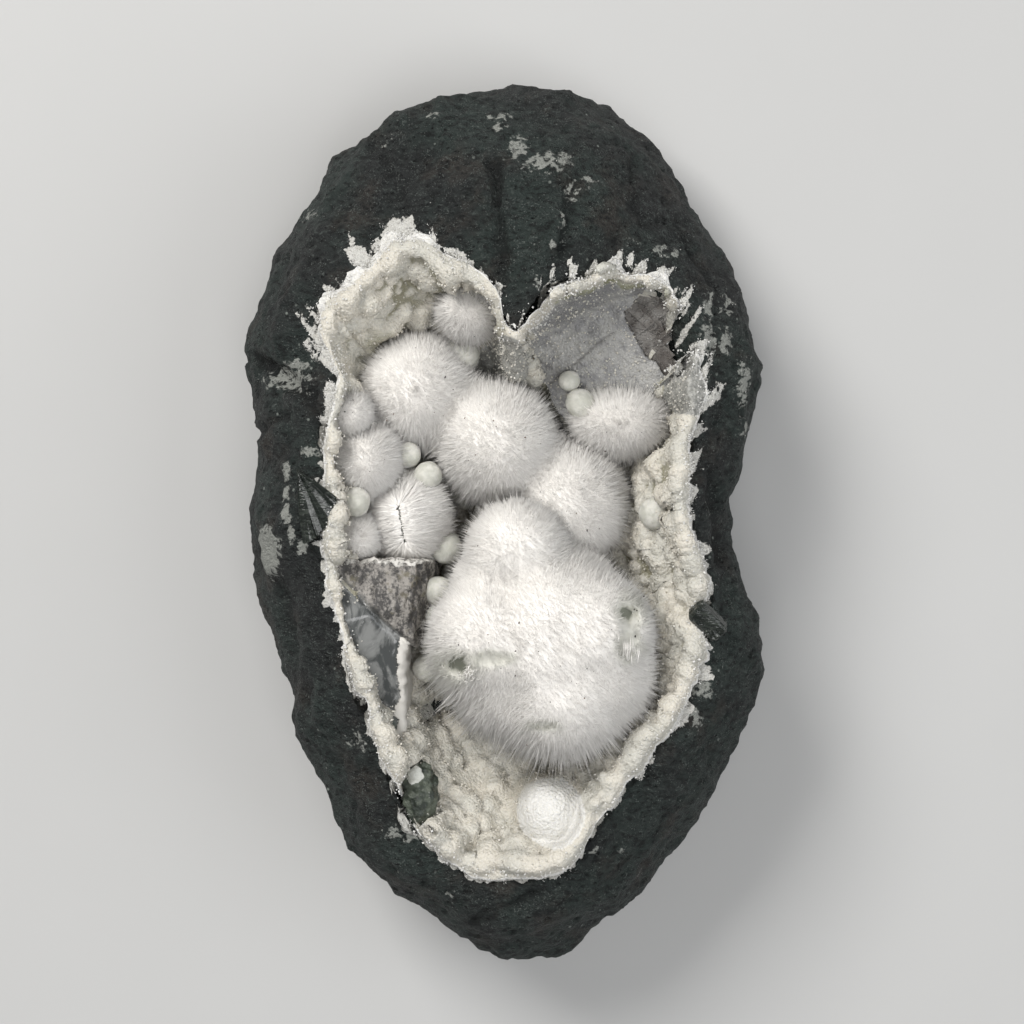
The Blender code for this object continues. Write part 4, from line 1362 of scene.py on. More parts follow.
@dataclass
class Coat:
    """The quartz slab on the calcite at the upper right, with the window broken in it."""

    lift_mm: float = 1.45
    thick_mm: float = 1.15
    face_mm: float = 0.34
    half_mm: Pair = (21.0, 20.0)
    ragged_mm: float = 0.55
    # How far inside its sides, and inside the mouth, the lining passes under it
    ease_mm: float = 0.35
    border_mm: float = 1.4
    window_depth_mm: float = 7.0
    over_wall_mm: float = 2.3
    flat_below_mm: float = 27.5
    window_mm: tuple[Pair, ...] = (
        (20.8, 34.8), (26.1, 38.8), (32.0, 33.6), (32.4, 29.3), (27.9, 24.1), (23.3, 29.3),
    )
    cracks_mm: tuple[tuple[float, float, float, float], ...] = (
        (8.1, 23.1, 19.1, 31.8), (5.1, 27.9, 8.3, 25.6), (12.5, 17.0, 17.0, 22.0),
    )
    planes: list[tuple[Array, float]] = field(init=False)

    def __post_init__(self) -> None:
        """Reads the calcite's top and its two free sides from the CAD solid."""
        groups: list[list] = []
        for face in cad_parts["calcite_upper"].data.polygons:
            offset = face.normal.dot(face.center) / MM
            for group in groups:
                if group[0].dot(face.normal) > 0.999 and abs(group[1] - offset) < 0.3:
                    group[2] += face.area
                    break
            else:
                groups.append([face.normal.copy(), offset, face.area])
        groups.sort(key=lambda group: -group[2])
        top = groups[0]
        wall_like = [group for group in groups[1:] if group[0].z > -0.4 and group[0].y < 0.0]
        self.planes = [(np.array(g[0]), g[1] + self.lift_mm) for g in (top, *wall_like[:2])]

    def top(self, places: Array) -> Array:
        """The height of the slab's top over each place."""
        facing, offset = self.planes[0]
        return (offset - places[..., 0] * facing[0] - places[..., 1] * facing[1]) / facing[2]

    def covers(self, places: Array, ease: float = 0.0) -> Array:
        """Looks whether places are within the calcite's free sides.

        Args:
            places: Places whose x and y count.
            ease: How far outside those sides they may be.

        Returns:
            Whether each place is under the slab, or in its window.
        """
        solid = np.concatenate([places[..., :2], self.top(places)[..., None]], axis=-1)
        inside = np.ones(places.shape[:-1], bool)
        for facing, offset in self.planes[1:]:
            inside &= solid @ facing < offset + ease
        return inside

    def underside(self, places: Array) -> Array:
        """The height that the lining keeps to under the slab, and far lower in its window."""
        deep = np.where(self.in_window(places, 0.8), self.window_depth_mm, self.thick_mm * 0.7)
        return self.top(places) - deep

    def in_window(self, places: Array, grow: float) -> Array:
        """Looks whether places are in the broken window.

        Args:
            places: Places whose x and y count.
            grow: How far the window is grown first.

        Returns:
            Whether each place is in it.
        """
        corners = np.array(self.window_mm)
        middle = corners.mean(axis=0)
        corners = corners + unit(corners - middle) * grow
        inside = np.ones(places.shape[:-1], bool)
        turning = np.sign(np.cross(corners[1] - corners[0], corners[2] - corners[1]))
        for one, two in zip(corners, np.roll(corners, -1, axis=0)):
            away, run = places[..., :2] - one, two - one
            inside &= (run[0] * away[..., 1] - run[1] * away[..., 0]) * turning > 0.0
        return inside

    def build(self, mouth: Mouth) -> Object:
        """Makes the slab.

        Args:
            mouth: The hollow's mouth, where the slab ends.

        Returns:
            The piece.
        """
        mesh = to_mesh(self.sheet(mouth), MM)
        points, normals = surface(mesh)
        rough = 0.16 * lattice_noise(points, 1.1, 11) + 0.12 * lattice_noise(points, 0.6, 12)
        rough += 0.25 * layered_noise(points, 6.0, 2, 13) - 0.35 * self.crack_share(points)
        points += normals * rough[:, None]
        move_points(mesh, points)
        mark(mesh, "edge", 0.75 * smooth_step(mouth.beyond(points), -2.2, -0.6))
        mark(mesh, "stain_and_shade", self.stain_and_shade(points, mouth))
        mark(mesh, "crack", self.crack_share(points))
        return add_piece("quartz_coat", mesh, CoatFinish().made())

    def sheet(self, mouth: Mouth) -> BMesh:
        """The slab before it is roughened: a thick sheet with ragged edges, in millimetres.

        Args:
            mouth: The hollow's mouth, where the slab ends.

        Returns:
            The sheet.
        """
        facing, _ = self.planes[0]
        along = unit(np.cross(self.planes[1][0], facing))
        across = np.cross(facing, along)
        middle = np.array(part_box("calcite_upper")[0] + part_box("calcite_upper")[1]) / MM / 2.0
        middle[2] = self.top(middle)
        bm = bmesh.new()
        segments = [int(2.0 * half / self.face_mm) for half in self.half_mm]
        bmesh.ops.create_grid(bm, x_segments=segments[0], y_segments=segments[1], size=1.0)
        spots = np.array([vert.co[:] for vert in bm.verts])
        spots = middle + spots[:, :1] * along * self.half_mm[0] + spots[:, 1:2] * across * self.half_mm[1]
        wall = np.nan_to_num(heights(node_tree("basalt_matrix"), spots), nan=0.0) + self.over_wall_mm
        near = (mouth.beyond(spots) < 0.5) & (spots[:, 1] > self.flat_below_mm)
        spots[:, 2] = np.where(near, np.maximum(spots[:, 2], wall), spots[:, 2])
        for vert, spot in zip(bm.verts, spots):
            vert.co = spot.tolist()
        spots = np.array([vert.co[:] for vert in bm.verts])
        shaken = spots + self.ragged_mm * np.stack(
            [layered_noise(spots, 2.4, 3, 80), layered_noise(spots, 2.4, 3, 90), 0.0 * spots[:, 0]], axis=1
        )
        keep = self.covers(shaken) & ~self.in_window(shaken, 0.0) & (mouth.beyond(spots) < -0.2)
        bmesh.ops.delete(bm, geom=[v for v, kept in zip(list(bm.verts), keep) if not kept], context="VERTS")
        loose = [vert for vert in bm.verts if len(vert.link_faces) < 2]
        bmesh.ops.delete(bm, geom=loose, context="VERTS")
        edge = [vert for vert in bm.verts if vert.is_boundary]
        axes = {"use_axis_x": True, "use_axis_y": True, "use_axis_z": True}
        for _ in range(2):
            bmesh.ops.smooth_vert(bm, verts=edge, factor=0.5, **axes)
        bmesh.ops.recalc_face_normals(bm, faces=bm.faces)
        if sum(face.normal.z for face in bm.faces) < 0.0:
            bmesh.ops.reverse_faces(bm, faces=bm.faces)
        bmesh.ops.solidify(bm, geom=bm.faces, thickness=self.thick_mm)
        bmesh.ops.recalc_face_normals(bm, faces=bm.faces)
        return bm

    def crack_share(self, points: Array) -> Array:
        """How much of each point is in one of the hairline cracks."""
        found = np.zeros(len(points))
        wander = 0.35 * layered_noise(points, 3.0, 2, 14)
        for ends in self.cracks_mm:
            off, share = from_line(points, ends[:2], ends[2:])
            run = np.subtract(ends[2:], ends[:2])
            away = np.abs(off @ np.array((-run[1], run[0])) / np.linalg.norm(run) + wander)
            away = np.hypot(away, np.where((share <= 0.0) | (share >= 1.0), 9.0, 0.0))
            found = np.maximum(found, 0.7 * smooth_step(away, 0.30, 0.0))
        return found

    def stain_and_shade(self, points: Array, mouth: Mouth) -> Array:
        """How olive each point of the slab is: along its upper border."""
        inward = -mouth.beyond(points)
        return 0.75 * smooth_step(inward, 3.6, 1.2) * smooth_step(points[:, 1], 33.0, 37.0)


@dataclass
class Druse:
    """Small flat-faced quartz crystals that stand on the lining and make it sparkle."""

    count: int = 18000
    width_mm: Pair = (0.08, 0.25)
    lean: float = 0.5

    def build(self, carriers: list[Object], mouth: Mouth, lining: Lining) -> Object:
        """Strews crystals over the carriers' upward faces.

        Args:
            carriers: The pieces that they grow on.
            mouth: The hollow's mouth.
            lining: Says where the lining is chalky and bare.

        Returns:
            The piece.
        """
        dice = np.random.default_rng(17)
        points, normals = map(np.concatenate, zip(*(surface(piece.data) for piece in carriers)))
        area = np.concatenate([point_areas(piece.data) for piece in carriers])
        bearing, distance = mouth.polar(points)
        share = distance / mouth.edge(bearing)
        bare = 1.0 - 0.95 * lining.chalk(points)
        weight = area * (normals[:, 2] > 0.02) * (share < 1.0) * bare
        picks = dice.choice(len(points), self.count, replace=True, p=weight / weight.sum())
        spread = dice.normal(size=(self.count, 3)) * 0.45 * np.sqrt(area[picks])[:, None]
        spread -= normals[picks] * (spread * normals[picks]).sum(axis=1, keepdims=True)
        places = points[picks] + spread
        widths = self.width_mm[0] + np.ptp(self.width_mm) * dice.random(self.count) ** 2.2
        directions = unit(normals[picks] + self.lean * dice.normal(size=(self.count, 3)))
        places -= directions * (widths * 0.5)[:, None]
        lengths = widths * dice.uniform(1.8, 3.2, self.count)
        mesh = Pattern.splinter(0.55).strewn(places, directions, widths, lengths, dice)
        mark(mesh, "edge", smooth_step(mouth.beyond(mesh_points(mesh)), -4.0, -0.5))
        # Painted shade: the lower crystals are more olive
        mark(mesh, "stain_and_shade", 0.3 * smooth_step(mesh_points(mesh)[:, 2], 30.0, 18.0))
        finish = DruseFinish().made("clear_quartz_points", granular=False)
        finish.node_tree.nodes["Principled BSDF"].inputs["Roughness"].default_value = 0.1
        return add_piece("quartz_points", mesh, finish, smooth=False)


@dataclass
class RimCrystals:
    """The ragged white crust around the mouth: small white blades that lie on the rock in fingers."""

    tries: int = 60000
    count: int = 11000
    width_mm: Pair = (0.07, 0.21)
    above_mm: float = 20.0

    def build(self, rock: Object, lining: Object, mouth: Mouth) -> Object:
        """Strews the blades.

        Args:
            rock: The rock that they lie on.
            lining: The lining, over whose lip they begin.
            mouth: The hollow's mouth, from which they point away.

        Returns:
            The piece.
        """
        dice = np.random.default_rng(29)
        points, normals = map(np.concatenate, zip(surface(rock.data), surface(lining.data)))
        smear = np.pad(marked(rock.data, "smear"), (0, len(lining.data.vertices)))
        beyond = mouth.beyond(points)
        on_rock = np.arange(len(points)) < len(rock.data.vertices)
        near = (beyond > np.where(on_rock, -0.4, -0.7)) & (beyond < 1.6 * mouth.crust_width(points))
        shown = (points[:, 2] > self.above_mm) & (normals[:, 2] > 0.05)
        weight = (near + 0.12 * (smear > 0.45)) * shown * np.where(on_rock, 1.0, 0.45)
        picks = dice.choice(len(points), self.tries, replace=True, p=weight / weight.sum())
        places = points[picks] + dice.normal(size=(self.tries, 3)) * (0.30, 0.30, 0.04)
        beyond = mouth.beyond(places)
        rim = mouth.crust_share(places, beyond)
        patch = 0.45 * smear[picks] + 0.55 * layered_noise(places, 1.5, 3, 64)
        kept = np.flatnonzero((rim > 0.40) | (patch > 0.62))[: self.count]
        picks, places, beyond = picks[kept], places[kept], beyond[kept]
        away = unit(np.concatenate([places[:, :2] - mouth.centre, np.zeros((len(kept), 1))], axis=1))
        directions = unit(0.9 * away + 0.6 * dice.normal(size=places.shape) + 0.35 * normals[picks])
        slim = 1.0 - 0.5 * smooth_step(beyond, 0.0, 3.5)
        slim *= np.clip(mouth.crust_width(places) / 2.4, 0.5, 1.0)
        widths = (self.width_mm[0] + np.ptp(self.width_mm) * dice.random(len(kept)) ** 2) * slim
        lengths = widths * dice.uniform(1.6, 4.2, len(kept))
        made = Pattern.splinter(0.5).strewn(places, directions, widths, lengths, dice)
        mark(made, "edge", np.full(len(made.vertices), 0.9))
        return add_piece("white_rim", made, DruseFinish().made("white_quartz_rim"), smooth=False)


@dataclass(frozen=True)
class Lobe:
    """One ball of a puffball: its centre and how far its fibre tips reach, in millimetres."""

    centre: Triple
    radii: Triple


@dataclass(frozen=True)
class Pit:
    """A broken place in a puffball: its centre and radii."""

    centre: Triple
    radii: Triple

    def away(self, points: Array) -> Array:
        """How far each point is from its centre, seen from above, as a share of its radii."""
        return np.linalg.norm((points - self.centre)[:, :2] / self.radii[:2], axis=1)


@dataclass
class Puffball:
    """A puffball of one or more lobes: a soft white body with a coat of fine straight fibres."""

    node: str
    lobes: tuple[Lobe, ...]
    per_point: float = 4.0
    face_mm: float = 0.6
    rounding: int = 20
    hair_mm: float = 1.6
    width_mm: float = 0.074
    tuft_mm: float = 0.80
    tuft_pull: float = 0.09
    long_mm: float = 0.0
    long_share: float = 0.14
    pits: tuple[Pit, ...] = ()
    pits_above_mm: float = 42.0
    seed: int = 1

    @property
    def name(self) -> str:
        """The puffball's own word, such as front."""
        return self.node.replace("okenite_", "")

    def build(self, finish: Material, ground: BVHTree) -> list[Object]:
        """Makes the body and the fibres.

        Args:
            finish: The fibres' material.
            ground: The lining, under which no fibre is made.

        Returns:
            The pieces.
        """
        body = self.body()
        pieces = [add_piece(f"{self.name}_body", body, finish, (self.node,))]
        pieces.append(add_piece(f"{self.name}_fibres", self.fibres(body, ground), finish))
        return pieces

    def body(self) -> Mesh:
        """The soft body under the fibres, with its broken pits pressed in."""
        bm = bmesh.new()
        for lobe in self.lobes:
            radii = np.array(lobe.radii) - 0.80 * self.hair_mm
            place = Matrix.Translation(lobe.centre) @ Matrix.Diagonal((*radii, 1.0))
            bmesh.ops.create_icosphere(bm, subdivisions=5, radius=1.0, matrix=place)
        mesh = remeshed(to_mesh(bm, MM), self.face_mm, self.rounding)
        points, normals = surface(mesh)
        depth = self.pit_depth(points)
        rough = 0.10 * lattice_noise(points, 0.9, 33) + 0.30 * layered_noise(points, 4.5, 2, 34)
        points += normals * rough[:, None] - depth[:, None] * (0.0, 0.0, 1.0)
        move_points(mesh, points)
        # The pit mark: grey-green tint with painted shade, darker where the pit is deeper
        mark(mesh, "pit", np.maximum(self.shade(points), np.clip(depth / 3.2, 0.0, 1.0)))
        mark(mesh, "bare", np.clip(depth / 1.6, 0.0, 1.0))
        return mesh

    def pit_depth(self, points: Array) -> Array:
        """How deep the pits are at each point."""
        depth = np.zeros(len(points))
        for pit in self.pits:
            away = pit.away(points) + 0.34 * layered_noise(points, 1.7, 3, 35)
            depth = np.maximum(depth, pit.radii[2] * smooth_step(away, 1.0, 0.35))
        return depth * (points[:, 2] > self.pits_above_mm)

    def fibres(self, body: Mesh, ground: BVHTree) -> Mesh:
        """The coat of fibres, gathered into pointed tufts.

        Args:
            body: The body that they grow on.
            ground: The lining.

        Returns:
            The mesh.
        """
        dice = np.random.default_rng(self.seed)
        (points, normals), bare = surface(body), marked(body, "bare")
        count = int(self.per_point * len(points))
        picks = np.arange(count) % len(points)
        shake = dice.normal(size=(count, 3)) * self.face_mm * 0.5
        facing = normals[picks]
        roots = points[picks] + shake - facing * (shake * facing).sum(axis=1, keepdims=True)
        seen = (facing[:, 2] > -0.5) & (bare[picks] < 0.10 + 0.5 * dice.random(count) ** 6)
        floor = np.nan_to_num(heights(ground, roots), nan=-OVERHEAD_MM)
        seen &= roots[:, 2] + 0.6 * self.hair_mm * facing[:, 2] > floor
        roots, facing = roots[seen], facing[seen]
        tufts = int(len(points) * (self.face_mm / self.tuft_mm) ** 2)
        middles = dice.choice(len(points), tufts, replace=False)
        finder = finder_of(points[middles])
        tuft = middles[[finder.find(Vector(root))[1] for root in roots]]
        tall = self.hair_mm * dice.uniform(0.86, 1.08, len(points))[tuft]
        down = smooth_step(-facing[:, 1], 0.1, 0.7) * smooth_step(facing[:, 2], 0.8, 0.2)
        tall = tall + self.long_mm * down * dice.random(len(roots)) ** 2
        long = dice.random(len(roots)) > 1.0 - self.long_share
        reach = tall * (0.78 + 0.24 * dice.random(len(roots)))
        reach *= np.where(long, dice.uniform(1.35, 2.1, len(roots)), 1.0)
        goal = points[tuft] + normals[tuft] * (np.where(long, 2.0, 1.25) * tall)[:, None]
        tips = roots + facing * reach[:, None]
        pull = self.tuft_pull * dice.uniform(0.3, 1.3, len(roots))[:, None]
        pull = np.where(long[:, None], 0.5, pull)
        tips += pull * (goal - tips) + dice.normal(size=tips.shape) * 0.09
        run = tips - roots
        widths = self.width_mm * dice.uniform(0.7, 1.35, len(roots)) * np.where(long, 0.8, 1.0)
        lengths = np.linalg.norm(run, axis=1)
        mesh = Pattern.cone(3).strewn(roots - facing * 0.1, run, widths, lengths, dice)
        mark_copies(mesh, "pit", self.shade(roots))
        mark_copies(mesh, "tone", dice.random(len(roots)) ** 2)
        soften(mesh, facing, 0.5)
        return mesh

    def shade(self, points: Array) -> Array:
        """How grey-green the fibres around the pits are at each point: their tint, with painted shade."""
        found = np.zeros(len(points))
        for pit in self.pits:
            away = pit.away(points) + 0.3 * layered_noise(points, 2.0, 2, 36)
            found = np.maximum(found, 0.55 * smooth_step(away, 2.1, 0.6))
        return found * (points[:, 2] > self.pits_above_mm)


@dataclass
class CleftPuffball:
    """The puffball that broke open: silky bundles that run out over a dome from a cleft painted dark as
    shade.
    """

    node: str = "okenite_cleft"
    lobe: Lobe = Lobe((-15.0, 0.6, 30.0), (7.4, 7.4, 7.4))
    lift_mm: float = 2.6
    cleft_mm: tuple[Pair, Pair] = ((-16.9, 2.4), (-15.9, -3.4))
    count: int = 9500
    body_share: float = 0.92
    width_mm: float = 0.10

    def from_cleft(self, spots: Array) -> Array:
        """The way from the nearest place in the cleft to each spot, seen from above."""
        return from_line(spots, *self.cleft_mm)[0]

    def build(self, finish: Material) -> list[Object]:
        """Makes the dome and its silky bundles.

        Args:
            finish: The material of both.

        Returns:
            The pieces.
        """
        bm = bmesh.new()
        place = Matrix.Translation(self.lobe.centre) @ Matrix.Diagonal((*self.lobe.radii, 1.0))
        bmesh.ops.create_icosphere(bm, subdivisions=5, radius=self.body_share, matrix=place)
        mesh = to_mesh(bm, MM)
        points = mesh_points(mesh)
        flow = self.from_cleft(points)
        away = np.linalg.norm(flow, axis=1)
        above = points[:, 2] > self.lobe.centre[2]
        points[:, 2] += (self.lift_mm - 2.2 * smooth_step(away, 1.5, 0.1)) * above
        bearing = np.arctan2(flow[:, 1], flow[:, 0])
        folds = np.stack([9.0 * np.cos(bearing), 9.0 * np.sin(bearing), 0.15 * away], axis=1)
        rough = 0.28 * layered_noise(folds, 1.0, 3, 44) * smooth_step(away, 0.3, 2.0)
        points += mesh_normals(mesh) * rough[:, None]
        move_points(mesh, points)
        # Painted shade: the dark line along the cleft
        mark(mesh, "pit", 0.95 * smooth_step(away, 0.9, 0.1))
        pieces = [add_piece("cleft_body", mesh, finish, (self.node,))]
        pieces.append(add_piece("cleft_fibres", self.bundles(), finish))
        return pieces

    def bundles(self) -> Mesh:
        """Fibres that start on the dome and run outwards, nearly along it."""
        dice = np.random.default_rng(52)
        radius = self.lobe.radii[0]
        bearing = dice.uniform(-math.pi, math.pi, self.count)
        out = radius * np.sqrt(dice.uniform(0.004, 0.98, self.count))
        middle = np.array(self.lobe.centre[:2])
        along = np.array(self.cleft_mm[0]) + dice.random((self.count, 1)) * np.subtract(*self.cleft_mm[::-1])
        starts = along + np.stack([out * np.cos(bearing), out * np.sin(bearing)], axis=1)
        starts = starts[np.hypot(*(starts - middle).T) < 0.93 * radius]
        rise = np.sqrt(np.maximum(0.0, radius**2 - ((starts - middle) ** 2).sum(axis=1)))
        level = self.lobe.centre[2] + rise * self.body_share + self.lift_mm
        roots = np.concatenate([starts, level[:, None]], axis=1)
        normal = unit(roots - self.lobe.centre)
        flow = np.concatenate([self.from_cleft(starts), np.zeros((len(starts), 1))], axis=1)
        flow = unit(flow - normal * (flow * normal).sum(axis=1, keepdims=True))
        sway = layered_noise(roots, 1.2, 2, 46)[:, None] * np.cross(normal, flow)
        lift = dice.uniform(0.10, 0.42, len(starts))[:, None]
        directions = unit(flow + 0.35 * sway + lift * normal + 0.10 * dice.normal(size=flow.shape))
        lengths = dice.uniform(1.3, 3.3, len(starts))
        widths = self.width_mm * dice.uniform(0.6, 1.5, len(starts))
        roots -= normal * 0.15
        mesh = Pattern.cone(3).strewn(roots, directions, widths, lengths, dice)
        mark_copies(mesh, "tone", dice.random(len(roots)) ** 2)
        soften(mesh, normal, 0.4)
        return mesh


@dataclass
class BrokenTufts:
    """Thick white bundles that stand open beside the pits in the front mass."""

    # Where each bunch stands, the way it points, and how many bundles it has
    bunches: tuple[tuple[Triple, Triple, int], ...] = (
        ((-5.2, -25.0, 49.6), (0.25, 0.3, 0.9), 40),
        ((20.6, -21.6, 50.2), (0.05, 0.95, 0.35), 46),
        ((18.4, -19.0, 51.2), (-0.1, 0.95, 0.3), 18),
    )
    width_mm: float = 0.10

    def build(self, finish: Material) -> Object:
        """Makes the bundles."""
        dice = np.random.default_rng(61)
        places, ways = [], []
        for centre, way, count in self.bunches:
            places.append(centre + dice.normal(size=(count, 3)) * (0.60, 0.60, 0.30))
            ways.append(unit(np.array(way) + 0.10 * dice.normal(size=(count, 3))))
        places, ways = np.concatenate(places), np.concatenate(ways)
        widths = self.width_mm * dice.uniform(0.6, 1.3, len(places))
        lengths = dice.uniform(1.2, 2.8, len(places))
        mesh = Pattern.cone(6).strewn(places, ways, widths, lengths, dice)
        return add_piece("broken_tufts", mesh, finish)


@dataclass
class Pearls:
    """Small waxy balls between the puffballs, each in its CAD node's place."""

    # Each pearl's centre and radius
    pearls: tuple[tuple[float, float, float, float], ...] = (
        (-6.4, 28.2, 30.5, 3.0), (-15.4, 11.0, 35.0, 2.2), (-12.1, 7.5, 35.8, 2.4), (11.6, 23.4, 32.8, 1.8),
        (13.4, 19.7, 33.2, 2.5), (-23.9, 3.2, 40.2, 2.5), (-9.0, -4.4, 34.1, 2.8), (26.0, 1.3, 34.4, 2.8),
    )
    # Lumps of the same kind: each one's place from above, its radius and, on the block's side, its height
    lumps: tuple[tuple[float, float, float, float], ...] = (
        (-10.2, -11.8, 2.6, 36.0), (-10.4, -16.0, 2.2, 35.5), (-11.0, -19.9, 2.5, 34.5),
        (-12.2, -24.6, 2.4, 33.5), (-8.0, -9.6, 2.6, 0.0), (-9.6, 12.6, 2.2, 0.0),
        (-6.2, 4.4, 2.6, 0.0), (-9.4, 1.6, 2.0, 0.0), (-12.9, 15.4, 1.6, 0.0),
    )

    def build(self, ground: BVHTree) -> list[Object]:
        """Makes the pearls.

        Args:
            ground: The lining, on which the lumps grow.

        Returns:
            The pieces.
        """
        finish = PearlFinish().made()
        made = [self.cluster(finish, ground)]
        for number, (*centre, radius) in enumerate(self.pearls, start=1):
            bm = bmesh.new()
            bmesh.ops.create_icosphere(bm, subdivisions=4, radius=radius, matrix=Matrix.Translation(centre))
            mesh = to_mesh(bm, MM)
            points = mesh_points(mesh)
            swell = 0.05 * layered_noise(points, 1.6, 3, 100 + number) * radius
            move_points(mesh, points + mesh_normals(mesh) * swell[:, None])
            made.append(add_piece(f"waxy_pearl_{number}", mesh, finish, (f"pearl_{number}",)))
        return made

    def cluster(self, finish: Material, ground: BVHTree) -> Object:
        """The lumps, each sunk a little into the lining.

        Args:
            finish: The pearls' material.
            ground: The lining.

        Returns:
            The piece.
        """
        spots = np.array(self.lumps)
        bm = bmesh.new()
        for (x, y, radius, level), floor in zip(self.lumps, np.nan_to_num(heights(ground, spots), nan=24.0)):
            place = Matrix.Translation((x, y, max(level, floor + 0.35 * radius)))
            bmesh.ops.create_icosphere(bm, subdivisions=4, radius=radius, matrix=place)
        mesh = to_mesh(bm, MM)
        points = mesh_points(mesh)
        move_points(mesh, points + mesh_normals(mesh) * (0.22 * layered_noise(points, 2.0, 3, 120))[:, None])
        return add_piece("waxy_lumps", mesh, finish)


@dataclass
class WindowCalcite:
    """The smoky calcite in the coat's window: its cleavage has left rhombs at many small steps."""

    turn_deg: float = 38.0
    half_mm: Pair = (9.5, 9.5)
    strip_mm: Pair = (0.5, 2.6)
    step_mm: float = 0.5
    depth_mm: float = 6.0

    def build(self, coat: Coat, mouth: Mouth) -> Object:
        """Makes the stepped crystal.

        Args:
            coat: The slab, whose top and window it lies under.
            mouth: The hollow's mouth, inside which it stays.

        Returns:
            The piece.
        """
        dice = np.random.default_rng(71)
        middle = np.array(coat.window_mm).mean(axis=0)
        turn = math.radians(self.turn_deg)
        along = np.array((math.cos(turn), math.sin(turn)))
        across = np.array((-math.sin(turn + 0.16), math.cos(turn + 0.16)))
        rows, columns = (self.strips(half, dice) for half in self.half_mm)
        row_step = dice.normal(size=len(rows)) * self.step_mm
        column_step = dice.normal(size=len(columns)) * self.step_mm
        bm = node_copy("calcite_upper")
        bmesh.ops.scale(bm, vec=(1.0 / MM,) * 3, verts=bm.verts)
        cells = itertools.product(enumerate(rows), enumerate(columns))
        for (row, (one, two)), (column, (low, high)) in cells:
            spot = middle + along * (one + two) / 2.0 + across * (low + high) / 2.0
            if not coat.in_window(spot[None], 1.4)[0] or mouth.beyond(spot[None])[0] > 0.3:
                continue
            top = float(coat.top(spot[None])[0]) - coat.thick_mm - 0.5 + row_step[row] + column_step[column]
            place = Matrix.Translation((*spot, top - self.depth_mm / 2.0))
            for axis, way, size in ((0, along, two - one), (1, across, high - low)):
                place[0][axis], place[1][axis] = way * size
                place[2][axis] = -(coat.planes[0][0][:2] @ way) / coat.planes[0][0][2] * size
            place[2][2] = self.depth_mm
            bmesh.ops.create_cube(bm, size=1.0, matrix=place)
        mesh, finish = to_mesh(bm, MM), CalciteFinish().made()
        return add_piece("smoky_calcite", mesh, finish, ("calcite_upper",), False)

    def strips(self, half: float, dice: Dice) -> list[Pair]:
        """Strips of uneven width that cover a length."""
        edges = [-half]
        while edges[-1] < half:
            edges.append(edges[-1] + dice.uniform(*self.strip_mm))
        return list(zip(edges[:-1], edges[1:]))


@dataclass
class CrystalBlock:
    """The broken crystal at the left wall, rough above its crack and glassy below it."""

    face_mm: float = 0.42
    crack_mm: tuple[Pair, Pair] = ((-24.5, -11.0), (-15.8, -19.8))
    ridge_mm: tuple[Pair, Pair] = ((-15.6, -20.5), (-16.4, -36.4))
    # A green patch and the white foot: each one's place from above and its radius
    teal_mm: Triple = (-19.5, -35.0, 3.6)
    foot_mm: Triple = (-18.5, -37.0, 3.0)
    ridge_above_mm: float = 30.0

    def build(self) -> Object:
        """Makes the block."""
        mesh = remeshed(to_mesh(node_copy("calcite_left")), self.face_mm, 1)
        points, normals = surface(mesh)
        (x_one, y_one), (x_two, y_two) = self.crack_mm
        run = np.array((x_two - x_one, y_two - y_one))
        side = np.array((-run[1], run[0])) / np.linalg.norm(run)
        above = (points[:, :2] - (x_one, y_one)) @ side + 0.5 * layered_noise(points, 3.0, 2, 62)
        rough = smooth_step(above, -0.6, 0.8)
        crack = smooth_step(np.abs(above + 0.3), 0.45, 0.0)
        lumps = layered_noise(points * (1.0, 0.5, 1.0), 2.0, 3, 63)
        facets = np.abs(lattice_noise(points * (1.0, 0.45, 1.0), 4.5, 64))
        chips = smooth_step(layered_noise(points, 3.2, 3, 67), 0.25, 0.6)
        lift = rough * (0.55 * lumps - 0.7 * chips) + (1.0 - rough) * (1.1 * facets - 0.4) - 0.9 * crack
        ridge = self.near_ridge(points)
        lift += 0.9 * ridge * (0.6 + 0.4 * lattice_noise(points, 1.0, 65))
        move_points(mesh, points + normals * lift[:, None])
        mark(mesh, "rough", rough)
        left = smooth_step(points[:, 0], -25.0, -27.5)
        upper = smooth_step(points[:, 1] + 0.6 * layered_noise(points, 2.0, 3, 68), -8.2, -6.4)
        foot, teal = (
            smooth_step(np.hypot(points[:, 0] - x, points[:, 1] - y), radius, 0.8)
            for x, y, radius in (self.foot_mm, self.teal_mm)
        )
        mark(mesh, "white", np.max([ridge, 0.6 * left, 0.6 * upper, foot], axis=0))
        mark(mesh, "teal", 0.8 * teal)
        return add_piece("grey_crystal", mesh, BlockFinish().made(), ("calcite_left",))

    def near_ridge(self, points: Array) -> Array:
        """How near each point is to the white ridge along the block's right edge."""
        away = np.linalg.norm(from_line(points, *self.ridge_mm)[0], axis=1)
        away += 0.55 * layered_noise(points, 1.8, 3, 66)
        return smooth_step(away, 1.7, 0.4) * (points[:, 2] > self.ridge_above_mm)


